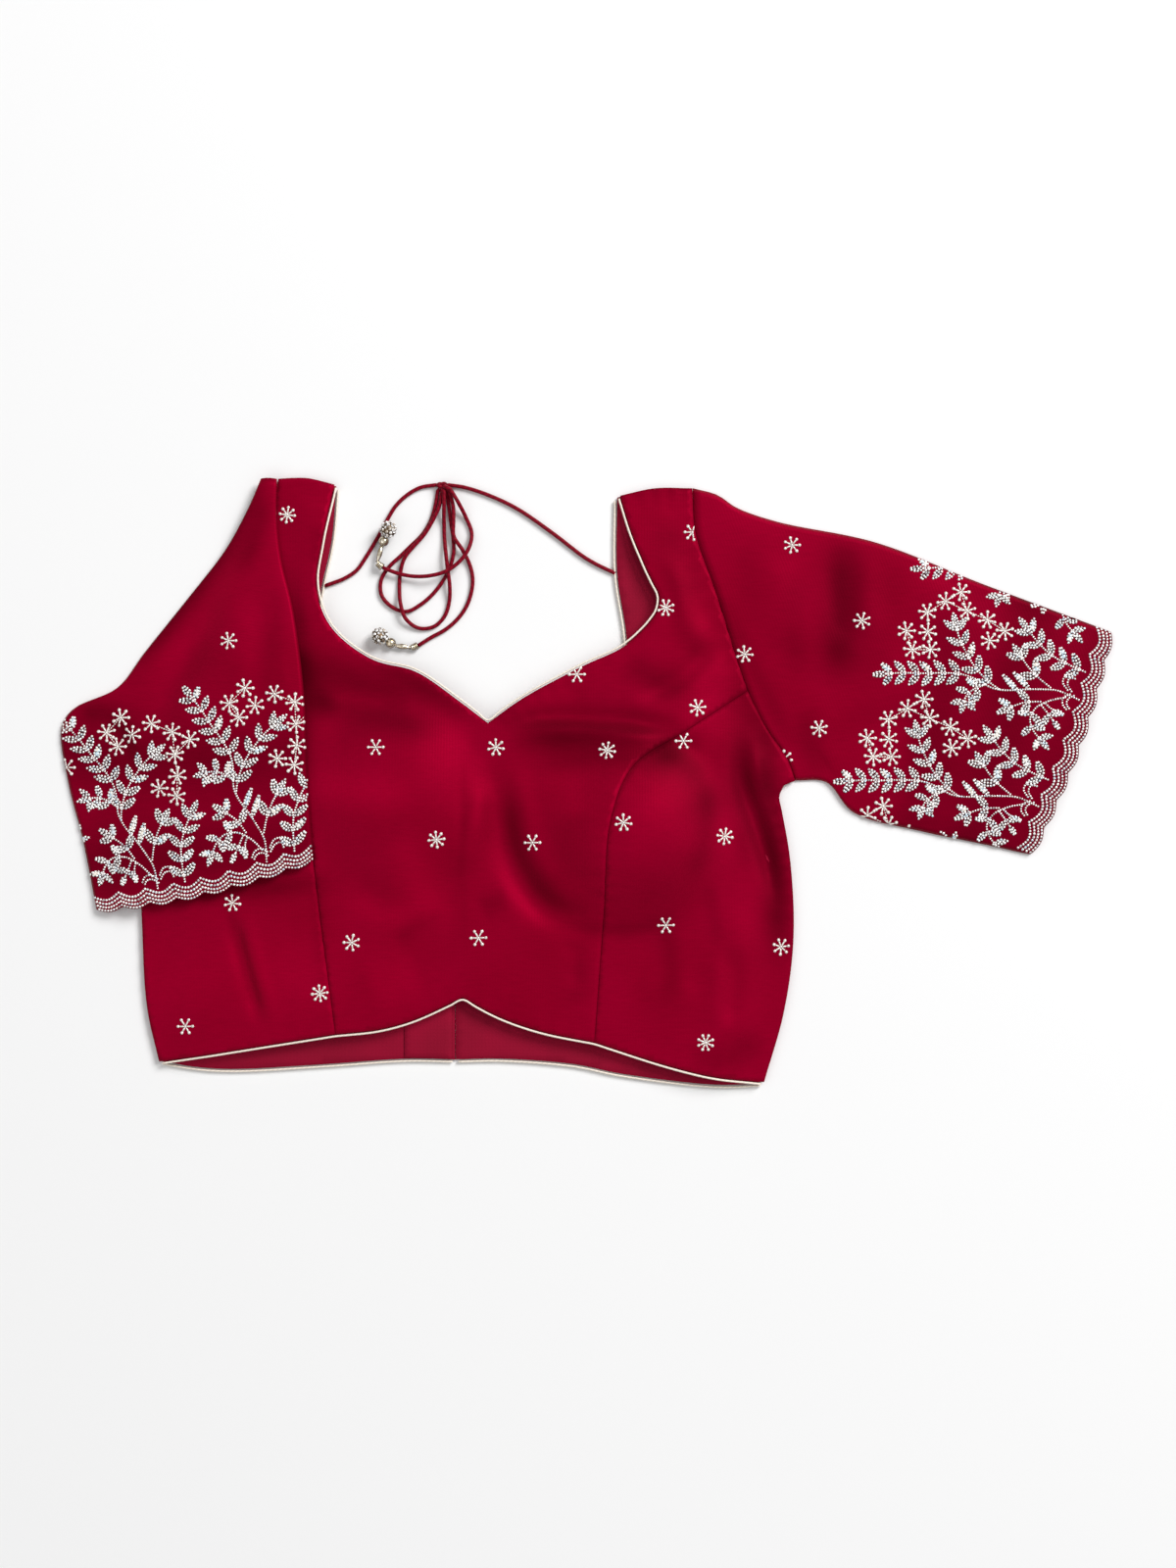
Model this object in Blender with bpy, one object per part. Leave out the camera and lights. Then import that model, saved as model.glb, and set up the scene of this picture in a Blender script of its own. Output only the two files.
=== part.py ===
"""Embroidered saree blouse, laid flat on its back with one sleeve out and one folded over.

Sizes and tables are in millimetres in the blouse's own frame: X runs across the chest,
Y runs from hem to shoulder, Z is up from the surface that it lies on.
"""
import math

import bpy
import numpy as np
from mathutils import Vector
from mathutils.geometry import delaunay_2d_cdt

MM = 0.001

# Where the part's origin lies in the tables below, so that it is under the middle of the blouse
ORIGIN = (-0.4, 1.1)

# Layers, from the surface up
BACK_THICK = 1.0
LINING_THICK = 1.0
PLACKET_THICK = 1.0
FRONT_THICK = 1.5
SLEEVE_WALL = 1.2
CLEAR = 0.3
LINING_Z = BACK_THICK + CLEAR
FRONT_Z = LINING_Z + LINING_THICK + CLEAR
PLACKET_Z = LINING_Z + LINING_THICK + CLEAR

# Piping along the neck and hem
PIPING_HALF_WIDTH = 1.2
PIPING_HALF_HEIGHT = 1.1
PIPING_SIDES = 6
BACK_PIPING_Z = 0.1
EDGE_INSET = PIPING_HALF_WIDTH + CLEAR
SEAM_INSET = CLEAR / 2

# Sampling steps
OUTLINE_STEP = 8.5
GRID_STEP = 10.0

# Outline curves, x and y in mm, each one read from a smooth curve through its points
SHOULDER_LEFT = ((-196, 194), (-178, 194.5), (-159, 190))
NECK_FRONT_LEFT = ((-159, 190), (-167, 151), (-170, 126), (-161, 101), (-136, 81),
                   (-108, 73), (-80, 54), (-63, 41))
NECK_FRONT_RIGHT = ((-63, 41), (-42, 56), (-5, 76), (25, 91), (44, 115), (37, 133),
                    (27, 157), (19, 183))
SHOULDER_RIGHT = ((19, 183), (42, 188), (66, 188))
ARMHOLE_RIGHT_TOP = ((66, 188), (68, 160), (81, 122), (101, 60))
ARMHOLE_RIGHT_LOW = ((101, 60), (113, 36), (126, 17), (131, 3))
UNDERARM_RIGHT = ((131, 3), (124, 0), (121, -7))
SIDE_RIGHT = ((121, -7), (128, -48), (130, -97), (124, -143), (111, -189))
ARMHOLE_LEFT_TOP = ((-196, 194), (-203, 150), (-214, 106), (-232, 65))
ARMHOLE_LEFT_LOW = ((-232, 65), (-251, 35), (-276, 4))
SIDE_LEFT = ((-276, 4), (-283, -36), (-282, -90), (-279, -140), (-271, -176))
PRINCESS_RIGHT = ((101, 60), (61, 34), (28, 12), (14, -22), (10, -80), (4, -163))
PRINCESS_LEFT = ((-232, 65), (-196, 36), (-178, -20), (-168, -90), (-159, -158))
HEM_FRONT_LEFT = ((-159, -158), (-132, -155), (-110, -149), (-79, -135))
HEM_FRONT_RIGHT = ((-79, -135), (-56, -147), (-30, -156), (4, -163))
HEM_SIDE_LEFT = ((-271, -176), (-222, -168), (-159, -158))
HEM_SIDE_RIGHT = ((4, -163), (51, -178), (80, -185), (111, -189))
NECK_BACK_LEFT = ((-158, 189), (-161, 155), (-169, 116), (-172, 60), (-150, -14), (-118, -46), (-84, -55))
NECK_BACK_RIGHT = ((17, 182), (17, 134), (23, 93), (24, 50), (6, -14), (-34, -46), (-84, -55))
CENTRE_BACK = ((-84, -55), (-84, -175))
HEM_BACK_LEFT = ((-84, -175), (-114, -174.5), (-167, -178), (-222, -181), (-246, -180), (-271, -176))
HEM_BACK_RIGHT = ((111, -190), (81, -191), (21, -184), (-9, -178), (-55, -174.5), (-84, -175))
PLACKET = ((-116, -57), (-86, -57), (-86, -173), (-116, -172))

# Sleeves: the two folds that the flat tube has, from the armhole to the cuff
RIGHT_TOP_FOLD = ((82, 184), (94, 176), (120, 167), (182, 154), (249, 128), (333.5, 96.5))
RIGHT_LOW_FOLD = ((151, 2), (168, -17), (211, -29), (254, -38), (282.5, -44.5))
LEFT_END = ((-206.5, 193.5), (-202.5, 193.9), (-198.5, 193.5))
LEFT_TOP_FOLD = ((-214, 176), (-228, 151), (-251, 121.5), (-281, 84), (-298, 62),
                 (-326, 48.5), (-333.5, 37), (-329, 1), (-320, -34), (-310.5, -81))
LEFT_LOW_FOLD = ((-198, 168), (-194, 142), (-186, 112), (-179, 63), (-176, 1), (-172, -49))
CUFF_BOW = {"right": 4.5, "left": 5.0}
SCALLOPS_ACROSS = 8
SCALLOP_DEPTH = 2.6
SCALLOP_SEGMENTS = 6
ARMHOLE_SEAM = (0.6, 0.3)
SLEEVE_ROWS = 12
SLEEVE_COLUMNS = 12

# Air left between a sleeve's two layers: part of the way to the cuff, gap
RIGHT_SLEEVE_AIR = ((0.0, 1.4), (0.25, 2.6), (0.6, 3.4), (1.0, 3.0))
LEFT_SLEEVE_AIR = ((0.0, 0.8), (0.25, 2.6), (0.6, 3.4), (1.0, 2.8))

# Loft of the front above the lining
BODY_LOFT = 5.2
LOFT_RAMP = 38.0
# Moulded cups: centre x, centre y, radius across, radius along, height
CUPS = ((30, -28, 64, 68, 21), (-120, -6, 62, 64, 13))
# Main folds of the front: from x, y to x, y, height, half width
FRONT_FOLDS = (
    (-58, 34, 60, 40, 3.0, 11),
    (100, 20, 118, -70, 2.6, 10),
    (-60, 12, -84, -58, 2.2, 10),
    (92, -92, 94, -150, 2.0, 10),
)

# The left sleeve lies over the side of the body and comes down to the surface past it
DRAPE_LIFT = 1.0
DRAPE_KEEP = 8.0
DRAPE_FALL = 20.0

# Tie cords: radius, and the points that each stretch passes through
CORD_RADIUS = 1.25
CORD_STEP = 10.0
CORD_CLEAR = 0.4
CORD_SLOPE = 0.6
CORD_ORDER = ("lead_left", "lead_right", "loop_left", "loop_right", "end_right", "end_left")
CORD_ROUTES = {
    "lead_left": ((-163.6, 127.5), (-149, 134), (-141, 144), (-131, 161), (-121, 178), (-108, 188),
                  (-96.6, 190.3)),
    "lead_right": ((14.2, 135.8), (0, 143), (-24, 161), (-48, 177), (-75, 188), (-88.1, 190.3)),
    "loop_left": ((-95.2, 186.4), (-97.5, 174), (-102.5, 162), (-117, 147), (-130, 133),
                  (-131, 121), (-118, 110), (-104, 116), (-91, 131), (-85, 148), (-86.5, 164),
                  (-89.2, 185.6)),
    "loop_right": ((-92.3, 185.8), (-94.3, 176), (-104, 158), (-116, 144), (-119.5, 126),
                   (-115, 105), (-104, 99), (-93, 104), (-87.5, 119), (-89, 139), (-91, 158),
                   (-90.9, 185.4)),
    "end_left": ((-87.0, 187.2), (-80.5, 176), (-73.5, 158), (-78, 145), (-90, 135), (-105, 132),
                 (-120, 134), (-129.6, 137.6)),
    "end_right": ((-88.0, 186.4), (-84.8, 174), (-85, 158), (-77, 145), (-73, 130), (-79, 111),
                  (-91, 97), (-101, 93), (-107.5, 88.6)),
}
KNOT_CENTRE = (-92.3, 189.6)
KNOT_RADII = (3.8, 3.1, 3.8)

# Tassel pieces in a row past each cord's end: kind, radius, length, heading and pitch in degrees
TASSELS = {
    "left": (
        ("cap", 2.2, 4.4, 142, 0),
        ("spindle", 1.0, 11.2, 75, 0),
        ("bead", 2.8, 5.6, 66, 12),
        ("crystal", 5.1, 10.2, 66, 24),
    ),
    "right": (
        ("cap", 2.2, 4.4, 198, 0),
        ("spindle", 1.0, 10.0, 172, 3),
        ("bead", 2.8, 5.6, 150, 6),
        ("crystal", 5.1, 10.2, 147, 20),
    ),
}
CAP_HEIGHT = 2.3
TASSEL_SIDES = 12

# Colours: red, green, blue, roughness, metallic
FINISHES = {
    "silk": (0.33, 0.0, 0.02, 0.42, 0.0),
    "lining": (0.28, 0.01, 0.03, 0.7, 0.0),
    "piping": (0.8, 0.7, 0.58, 0.5, 0.0),
    "cord": (0.3, 0.01, 0.04, 0.6, 0.0),
    "gold": (0.6, 0.5, 0.32, 0.3, 1.0),
    "crystal": (0.75, 0.72, 0.66, 0.15, 0.1),
}


# Curves and outlines

def smooth(points, step):
    """Evenly spaced points on a smooth curve through the given points, ends kept."""
    p = np.array(points, float)
    if len(p) == 2:
        dense = np.linspace(p[0], p[1], 32)
    else:
        before = 2 * p[0] - p[1]
        after = 2 * p[-1] - p[-2]
        q = np.vstack([before, p, after])
        pieces = []
        for i in range(1, len(q) - 2):
            pieces.append(spline_piece(q[i - 1], q[i], q[i + 1], q[i + 2]))
        pieces.append(q[-2:-1])
        dense = np.vstack(pieces)
    run = np.concatenate([[0.0], np.cumsum(np.linalg.norm(np.diff(dense, axis=0), axis=1))])
    count = max(1, round(run[-1] / step))
    at = np.linspace(0.0, run[-1], count + 1)
    return np.column_stack([np.interp(at, run, dense[:, k]) for k in range(dense.shape[1])])


def spline_piece(a, b, c, d):
    """Sixteen points of a centripetal spline from b towards c."""
    knots = [0.0]
    for start, end in ((a, b), (b, c), (c, d)):
        knots.append(knots[-1] + math.sqrt(np.linalg.norm(end - start)) + 1e-9)
    t0, t1, t2, t3 = knots
    t = np.linspace(t1, t2, 16, endpoint=False)[:, None]
    ab = ((t1 - t) * a + (t - t0) * b) / (t1 - t0)
    bc = ((t2 - t) * b + (t - t1) * c) / (t2 - t1)
    cd = ((t3 - t) * c + (t - t2) * d) / (t3 - t2)
    abc = ((t2 - t) * ab + (t - t0) * bc) / (t2 - t0)
    bcd = ((t3 - t) * bc + (t - t1) * cd) / (t3 - t1)
    return ((t2 - t) * abc + (t - t1) * bcd) / (t2 - t1)


def outline_of(*edges):
    """A closed outline from edges of (points, inset, reverse), moved in by each edge's inset."""
    points = []
    insets = []
    for curve, inset, reverse in edges:
        samples = smooth(curve, OUTLINE_STEP)
        if reverse:
            samples = samples[::-1]
        points.extend(samples[:-1])
        insets.extend([inset] * (len(samples) - 1))
    return inset_outline(np.array(points), np.array(insets))


def signed_area(p):
    q = np.roll(p, -1, axis=0)
    return 0.5 * np.sum(p[:, 0] * q[:, 1] - q[:, 0] * p[:, 1])


def inset_outline(p, insets):
    """Each edge moved inwards by its own inset, corners where the moved edges meet."""
    if signed_area(p) < 0:
        p = p[::-1]
        insets = np.roll(insets[::-1], -1)
    edge = np.roll(p, -1, axis=0) - p
    edge /= np.linalg.norm(edge, axis=1)[:, None]
    inward = np.column_stack([-edge[:, 1], edge[:, 0]])
    moved = []
    for i in range(len(p)):
        n0, n1 = inward[i - 1], inward[i]
        d0, d1 = insets[i - 1], insets[i]
        cross = n0[0] * n1[1] - n0[1] * n1[0]
        if abs(cross) > 0.2:
            x = (d0 * n1[1] - d1 * n0[1]) / cross
            y = (d1 * n0[0] - d0 * n1[0]) / cross
            moved.append(p[i] + (x, y))
        else:
            mean = n0 + n1
            mean /= np.linalg.norm(mean)
            moved.append(p[i] + mean * (d0 + d1) / 2)
    return np.array(moved)


def distance_to(line, x, y):
    """Shortest distance from each x, y to an open line of points."""
    a = line[:-1]
    d = line[1:] - a
    rx = np.asarray(x, float)[..., None] - a[:, 0]
    ry = np.asarray(y, float)[..., None] - a[:, 1]
    t = np.clip((rx * d[:, 0] + ry * d[:, 1]) / np.sum(d * d, axis=1), 0.0, 1.0)
    return np.min(np.hypot(rx - t * d[:, 0], ry - t * d[:, 1]), axis=-1)


def is_inside(outline, x, y):
    """True where x, y lies inside the closed outline."""
    x = np.asarray(x, float)[..., None]
    y = np.asarray(y, float)[..., None]
    a = outline
    b = np.roll(outline, -1, axis=0)
    spans = (a[:, 1] > y) != (b[:, 1] > y)
    rise = np.where(b[:, 1] == a[:, 1], 1.0, b[:, 1] - a[:, 1])
    crossing = x < (b[:, 0] - a[:, 0]) * (y - a[:, 1]) / rise + a[:, 0]
    return np.sum(spans & crossing, axis=-1) % 2 == 1


# Heights of the layers

def joined(*curves):
    """One line of points through curves that follow on from each other."""
    parts = [smooth(curve, OUTLINE_STEP) for curve in curves]
    return np.vstack([part[:-1] for part in parts[:-1]] + [parts[-1]])


REST_LEFT = joined(SIDE_LEFT[::-1], ARMHOLE_LEFT_LOW[::-1], ARMHOLE_LEFT_TOP[::-1], SHOULDER_LEFT)
REST_RIGHT = joined(SHOULDER_RIGHT, ARMHOLE_RIGHT_TOP, ARMHOLE_RIGHT_LOW, UNDERARM_RIGHT, SIDE_RIGHT)
BODY_OUTLINE = np.vstack([REST_LEFT, REST_RIGHT])


def ease(t):
    t = np.clip(t, 0.0, 1.0)
    return t * t * (3.0 - 2.0 * t)


def front_bottom(x, y):
    """Height of the front's lower face: flat at the side seams, lofted by the cups and folds."""
    x = np.asarray(x, float)
    y = np.asarray(y, float)
    edge = np.minimum(distance_to(REST_LEFT, x, y), distance_to(REST_RIGHT, x, y))
    rise = ease(edge / LOFT_RAMP) * is_inside(BODY_OUTLINE, x, y)
    loft = np.full(np.shape(x), BODY_LOFT)
    for cx, cy, rx, ry, height in CUPS:
        q = ((x - cx) / rx) ** 2 + ((y - cy) / ry) ** 2
        loft = loft + height * np.clip(1.0 - q, 0.0, 1.0) ** 1.4
    for x0, y0, x1, y1, height, width in FRONT_FOLDS:
        away = distance_to(np.array(((x0, y0), (x1, y1)), float), x, y)
        loft = loft + height * np.exp(-(away / width) ** 2)
    return FRONT_Z + rise * loft


def sleeve_rest(x, y):
    """What the left sleeve lies on: the front, then a slope down to the surface past its edge."""
    away = np.where(is_inside(BODY_OUTLINE, x, y), 0.0, distance_to(REST_LEFT, x, y))
    fall = 1.0 - ease((away - DRAPE_KEEP) / DRAPE_FALL)
    return fall * (front_bottom(x, y) + FRONT_THICK + DRAPE_LIFT)


# Solids

def placed(point):
    """A point of the tables, in metres from the part's origin."""
    x, y, z = point
    return ((float(x) - ORIGIN[0]) * MM, (float(y) - ORIGIN[1]) * MM, float(z) * MM)


def material(finish):
    found = bpy.data.materials.get(finish)
    if found:
        return found
    red, green, blue, roughness, metallic = FINISHES[finish]
    made = bpy.data.materials.new(finish)
    made.use_nodes = True
    shader = made.node_tree.nodes["Principled BSDF"]
    shader.inputs["Base Color"].default_value = (red, green, blue, 1.0)
    shader.inputs["Roughness"].default_value = roughness
    shader.inputs["Metallic"].default_value = metallic
    return made


def add_mesh(name, points, faces, finish):
    """A mesh object from points in mm."""
    mesh = bpy.data.meshes.new(name)
    mesh.from_pydata([placed(point) for point in points], [], faces)
    mesh.update()
    thing = bpy.data.objects.new(name, mesh)
    bpy.context.scene.collection.objects.link(thing)
    thing.data.materials.append(material(finish))
    return thing


def panel(name, outline, bottom, thickness, finish, grid=0.0):
    """A cloth panel: the outline filled with triangles, walled, and lifted by bottom(x, y)."""
    rim = len(outline)
    plan = [tuple(p) for p in outline]
    if grid:
        low = outline.min(axis=0)
        high = outline.max(axis=0)
        gx, gy = np.meshgrid(np.arange(low[0], high[0], grid), np.arange(low[1], high[1], grid))
        ring = np.vstack([outline, outline[:1]])
        keep = is_inside(outline, gx, gy) & (distance_to(ring, gx, gy) > grid * 0.45)
        plan.extend(zip(gx[keep], gy[keep]))
    found = delaunay_2d_cdt(plan, [], [list(range(rim))], 1, 1e-6)
    flat = np.array([tuple(p) for p in found[0]])
    order = {}
    for new, olds in enumerate(found[3]):
        for old in olds:
            order[old] = new
    triangles = [list(face) for face in found[2]]
    low_z = np.asarray(bottom(flat[:, 0], flat[:, 1]), float) + np.zeros(len(flat))
    count = len(flat)
    points = [(x, y, z) for (x, y), z in zip(flat, low_z)]
    points += [(x, y, z + thickness) for (x, y), z in zip(flat, low_z)]
    faces = [face[::-1] for face in triangles]
    faces += [[i + count for i in face] for face in triangles]
    for i in range(rim):
        a = order[i]
        b = order[(i + 1) % rim]
        faces.append([a, b, b + count, a + count])
    return add_mesh(name, points, faces, finish)


def flat_at(height):
    return lambda x, y: np.full(np.shape(x), height)


def piping(name, centre, height):
    """A narrow corded edge along a line of points, its lower face at height(x, y)."""
    turn = 2 * math.pi / PIPING_SIDES
    section = [(math.cos(turn * k), math.sin(turn * k)) for k in range(PIPING_SIDES)]
    top = max(v for _, v in section)
    count = len(centre)
    steps = np.diff(centre, axis=0)
    steps /= np.linalg.norm(steps, axis=1)[:, None]
    lift = height(centre[:, 0], centre[:, 1])
    points = []
    for i in range(count):
        back = steps[max(i - 1, 0)]
        ahead = steps[min(i, count - 2)]
        along = (back + ahead) / np.linalg.norm(back + ahead)
        widen = 1.0 / max(0.6, float(along @ ahead))
        side = np.array((along[1], -along[0])) * widen
        for u, v in section:
            x, y = centre[i] + side * u * PIPING_HALF_WIDTH
            points.append((x, y, lift[i] + PIPING_HALF_HEIGHT * (1 + v / top)))
    faces = []
    for i in range(count - 1):
        for k in range(PIPING_SIDES):
            a = i * PIPING_SIDES + k
            b = i * PIPING_SIDES + (k + 1) % PIPING_SIDES
            faces.append([a, a + PIPING_SIDES, b + PIPING_SIDES, b])
    last = (count - 1) * PIPING_SIDES
    faces.append(list(range(PIPING_SIDES)))
    faces.append([last + k for k in reversed(range(PIPING_SIDES))])
    return add_mesh(name, points, faces, "piping")


def shares(count, fine):
    """Places across one layer of a sleeve, closer together at its two folds."""
    if fine:
        return np.linspace(0.0, 1.0, count + 1)
    middle = np.arange(1, count) / count
    return np.concatenate([[0.0, 0.01, 0.03], middle, [0.97, 0.99, 1.0]])


def sleeve(name, armhole, top_fold, low_fold, bow, air, rest):
    """A flattened tube between the armhole and a scalloped cuff, open at both ends."""
    top = smooth((armhole[0], *top_fold), 2.0)
    low = smooth((armhole[-1], *low_fold), 2.0)
    start = smooth(armhole, 2.0)
    cuff_line = np.array((top[-1], low[-1]))
    out = (cuff_line[0] - cuff_line[1])[::-1] * (1, -1)
    out = out / np.linalg.norm(out)
    out = out * np.sign(out @ (top[-1] - top[-12]))

    def along(curve, t):
        at = np.linspace(0.0, 1.0, len(curve))
        return np.column_stack([np.interp(t, at, curve[:, k]) for k in range(2)])

    def plan(u, v):
        """The sleeve's flat plan: u from the top fold to the low fold, v from armhole to cuff."""
        u = np.asarray(u, float)
        v = np.full(u.shape, v)
        cuff = cuff_line[0] + (cuff_line[1] - cuff_line[0]) * u[:, None]
        cuff = cuff + out * (bow * np.sin(math.pi * u))[:, None]
        ends = along(start, u) * (1 - v)[:, None] + cuff * v[:, None]
        folds = along(top, v) * (1 - u)[:, None] + along(low, v) * u[:, None]
        corners = (start[0] * ((1 - u) * (1 - v))[:, None] + top[-1] * ((1 - u) * v)[:, None]
                   + start[-1] * (u * (1 - v))[:, None] + low[-1] * (u * v)[:, None])
        return ends + folds - corners

    def ring(v, places, inner, scallops):
        """One ring round the tube, over the top layer and back under the lower one."""
        gap = np.interp(v, *zip(*air))
        width = np.linalg.norm(plan([0.0], v)[0] - plan([1.0], v)[0])
        inset = SLEEVE_WALL / width if inner else 0.0
        points = []
        for side, us in ((1, places), (-1, places[::-1])):
            for u in us[:-1]:
                share = inset + u * (1 - 2 * inset)
                x, y = plan([share], v)[0]
                if scallops:
                    wave = abs(math.sin(math.pi * SCALLOPS_ACROSS * share))
                    x, y = (x, y) + out * SCALLOP_DEPTH * (wave - 1)
                between = 0.4 + gap * math.sin(math.pi * u) ** 0.7
                half = between / 2 + (0.0 if inner else SLEEVE_WALL)
                middle = float(rest(np.array([x]), np.array([y]))[0]) + between / 2 + SLEEVE_WALL
                edge = min(u, 1 - u) * width / max(half, 0.1)
                round_off = math.sqrt(max(0.0, 1 - (1 - min(edge, 1.0)) ** 2))
                points.append((x, y, middle + side * half * round_off))
        return points

    def marks(places):
        n = len(places) - 1
        return [u / 2 for u in places[:-1]] + [1 - u / 2 for u in places[::-1][:-1]]

    coarse = shares(SLEEVE_COLUMNS, False)
    fine = shares(SCALLOPS_ACROSS * SCALLOP_SEGMENTS, True)
    rows = [(v, coarse, False) for v in np.linspace(0.0, 0.95, SLEEVE_ROWS)] + [(1.0, fine, True)]
    points = []
    starts = {}
    for inner in (False, True):
        for r, (v, places, scallops) in enumerate(rows):
            starts[inner, r] = len(points)
            points.extend(ring(v, places, inner, scallops))
    faces = []
    for inner in (False, True):
        for r in range(len(rows) - 1):
            strip = stitched(marks(rows[r][1]), starts[inner, r], marks(rows[r + 1][1]), starts[inner, r + 1])
            faces.extend([face[::-1] for face in strip] if inner else strip)
    for r, flip in ((0, True), (len(rows) - 1, False)):
        at = marks(rows[r][1])
        strip = stitched(at, starts[False, r], at, starts[True, r])
        faces.extend([face[::-1] for face in strip] if flip else strip)
    across = low[0] - top[0]
    down = top[-1] - top[0]
    if across[0] * down[1] - across[1] * down[0] > 0:
        faces = [face[::-1] for face in faces]
    return add_mesh(name, points, faces, "silk")


def stitched(marks_a, start_a, marks_b, start_b):
    """Triangles between two closed rings whose points have places from 0 to 1."""
    a = list(marks_a) + [1.0]
    b = list(marks_b) + [1.0]
    i = 0
    j = 0
    faces = []
    while i < len(marks_a) or j < len(marks_b):
        pa = start_a + i % len(marks_a)
        pb = start_b + j % len(marks_b)
        step_a = i < len(marks_a) and (j == len(marks_b) or a[i + 1] <= b[j + 1])
        if step_a:
            i += 1
            faces.append([pa, pb, start_a + i % len(marks_a)])
        else:
            j += 1
            faces.append([pa, pb, start_b + j % len(marks_b)])
    return faces


def turned(name, centre, radius, length, axis, finish):
    """A small turned ball or spindle of TASSEL_SIDES sides along an axis."""
    axis = np.array(axis, float)
    axis /= np.linalg.norm(axis)
    across = np.cross(axis, (0.0, 0.0, 1.0))
    across /= np.linalg.norm(across)
    up = np.cross(across, axis)
    rings = 7
    points = [tuple(np.array(centre) - axis * length / 2)]
    for r in range(1, rings):
        t = -math.cos(math.pi * r / rings)
        size = radius * math.sqrt(1 - t * t)
        for k in range(TASSEL_SIDES):
            a = 2 * math.pi * k / TASSEL_SIDES
            spoke = across * math.cos(a) + up * math.sin(a)
            points.append(tuple(np.array(centre) + axis * t * length / 2 + spoke * size))
    points.append(tuple(np.array(centre) + axis * length / 2))
    tip = len(points) - 1
    faces = []
    for k in range(TASSEL_SIDES):
        n = (k + 1) % TASSEL_SIDES
        faces.append([0, 1 + k, 1 + n])
        for r in range(rings - 2):
            a = 1 + r * TASSEL_SIDES
            faces.append([a + k, a + TASSEL_SIDES + k, a + TASSEL_SIDES + n, a + n])
        a = 1 + (rings - 2) * TASSEL_SIDES
        faces.append([a + k, tip, a + n])
    return add_mesh(name, points, faces, finish)


# Cords

def between(points, samples=8):
    """Points along straight runs between the given ones, with the run that each is on."""
    t = np.linspace(0.0, 1.0, samples, endpoint=False)[:, None]
    parts = [a + (b - a) * t for a, b in zip(points[:-1], points[1:])]
    runs = np.repeat(np.arange(len(points) - 1), samples)
    return np.vstack(parts + [points[-1:]]), np.append(runs, len(points) - 2)


def lifted(plan, laid):
    """Heights for a cord laid over what lies there already, itself included."""
    apart = 2 * CORD_RADIUS + CORD_CLEAR
    flat, runs = between(plan)
    heights = np.full(len(plan), CORD_RADIUS)
    skip = 3
    for run in range(len(plan) - 1):
        own = flat[runs == run]
        below = list(laid)
        if run > skip:
            first = plan[:run - skip + 1]
            below.append(between(np.column_stack([first, heights[:run - skip + 1]]))[0])
        need = CORD_RADIUS
        for other in below:
            away = np.hypot(own[:, None, 0] - other[None, :, 0], own[:, None, 1] - other[None, :, 1])
            over = other[None, :, 2] + np.sqrt(np.clip(apart ** 2 - away ** 2, 0.0, None))
            over = np.where(away < apart, over, CORD_RADIUS)
            need = max(need, float(over.max()))
        heights[run] = max(heights[run], need)
        heights[run + 1] = max(heights[run + 1], need)
    reach = np.linalg.norm(np.diff(plan, axis=0), axis=1) * CORD_SLOPE
    for i in range(1, len(plan)):
        heights[i] = max(heights[i], heights[i - 1] - reach[i - 1])
    for i in range(len(plan) - 2, -1, -1):
        heights[i] = max(heights[i], heights[i + 1] - reach[i])
    return np.column_stack([plan, heights])


def add_cord(name, route):
    """A cord as a round tube along its route, with closed ends."""
    curve = bpy.data.curves.new(name, "CURVE")
    curve.dimensions = "3D"
    curve.bevel_depth = CORD_RADIUS * MM
    curve.bevel_resolution = 2
    curve.use_fill_caps = True
    spline = curve.splines.new("POLY")
    spline.points.add(len(route) - 1)
    for point, place in zip(spline.points, route):
        point.co = (*placed(place), 1.0)
    thing = bpy.data.objects.new(name, curve)
    bpy.context.scene.collection.objects.link(thing)
    curve.materials.append(material("cord"))
    return thing


# The pieces

def clear_scene():
    for thing in list(bpy.data.objects):
        bpy.data.objects.remove(thing, do_unlink=True)


def build_back():
    left = outline_of(
        (SHOULDER_LEFT, SEAM_INSET, False), (NECK_BACK_LEFT, EDGE_INSET, False),
        (CENTRE_BACK, SEAM_INSET, False), (HEM_BACK_LEFT, EDGE_INSET, False),
        (SIDE_LEFT, SEAM_INSET, True), (ARMHOLE_LEFT_LOW, SEAM_INSET, True),
        (ARMHOLE_LEFT_TOP, SEAM_INSET, True))
    right = outline_of(
        (SHOULDER_RIGHT, SEAM_INSET, True), (NECK_BACK_RIGHT, EDGE_INSET, False),
        (CENTRE_BACK, SEAM_INSET, False), (HEM_BACK_RIGHT, EDGE_INSET, True),
        (SIDE_RIGHT, SEAM_INSET, True), (UNDERARM_RIGHT, SEAM_INSET, True),
        (ARMHOLE_RIGHT_LOW, SEAM_INSET, True), (ARMHOLE_RIGHT_TOP, SEAM_INSET, True))
    for side, outline in (("left", left), ("right", right)):
        panel(f"back_{side}", outline, flat_at(0.0), BACK_THICK, "silk")
        panel(f"back_lining_{side}", outline, flat_at(LINING_Z), LINING_THICK, "lining")
    panel("back_placket", inset_outline(np.array(PLACKET, float), np.zeros(len(PLACKET))),
          flat_at(PLACKET_Z), PLACKET_THICK, "lining")


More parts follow.
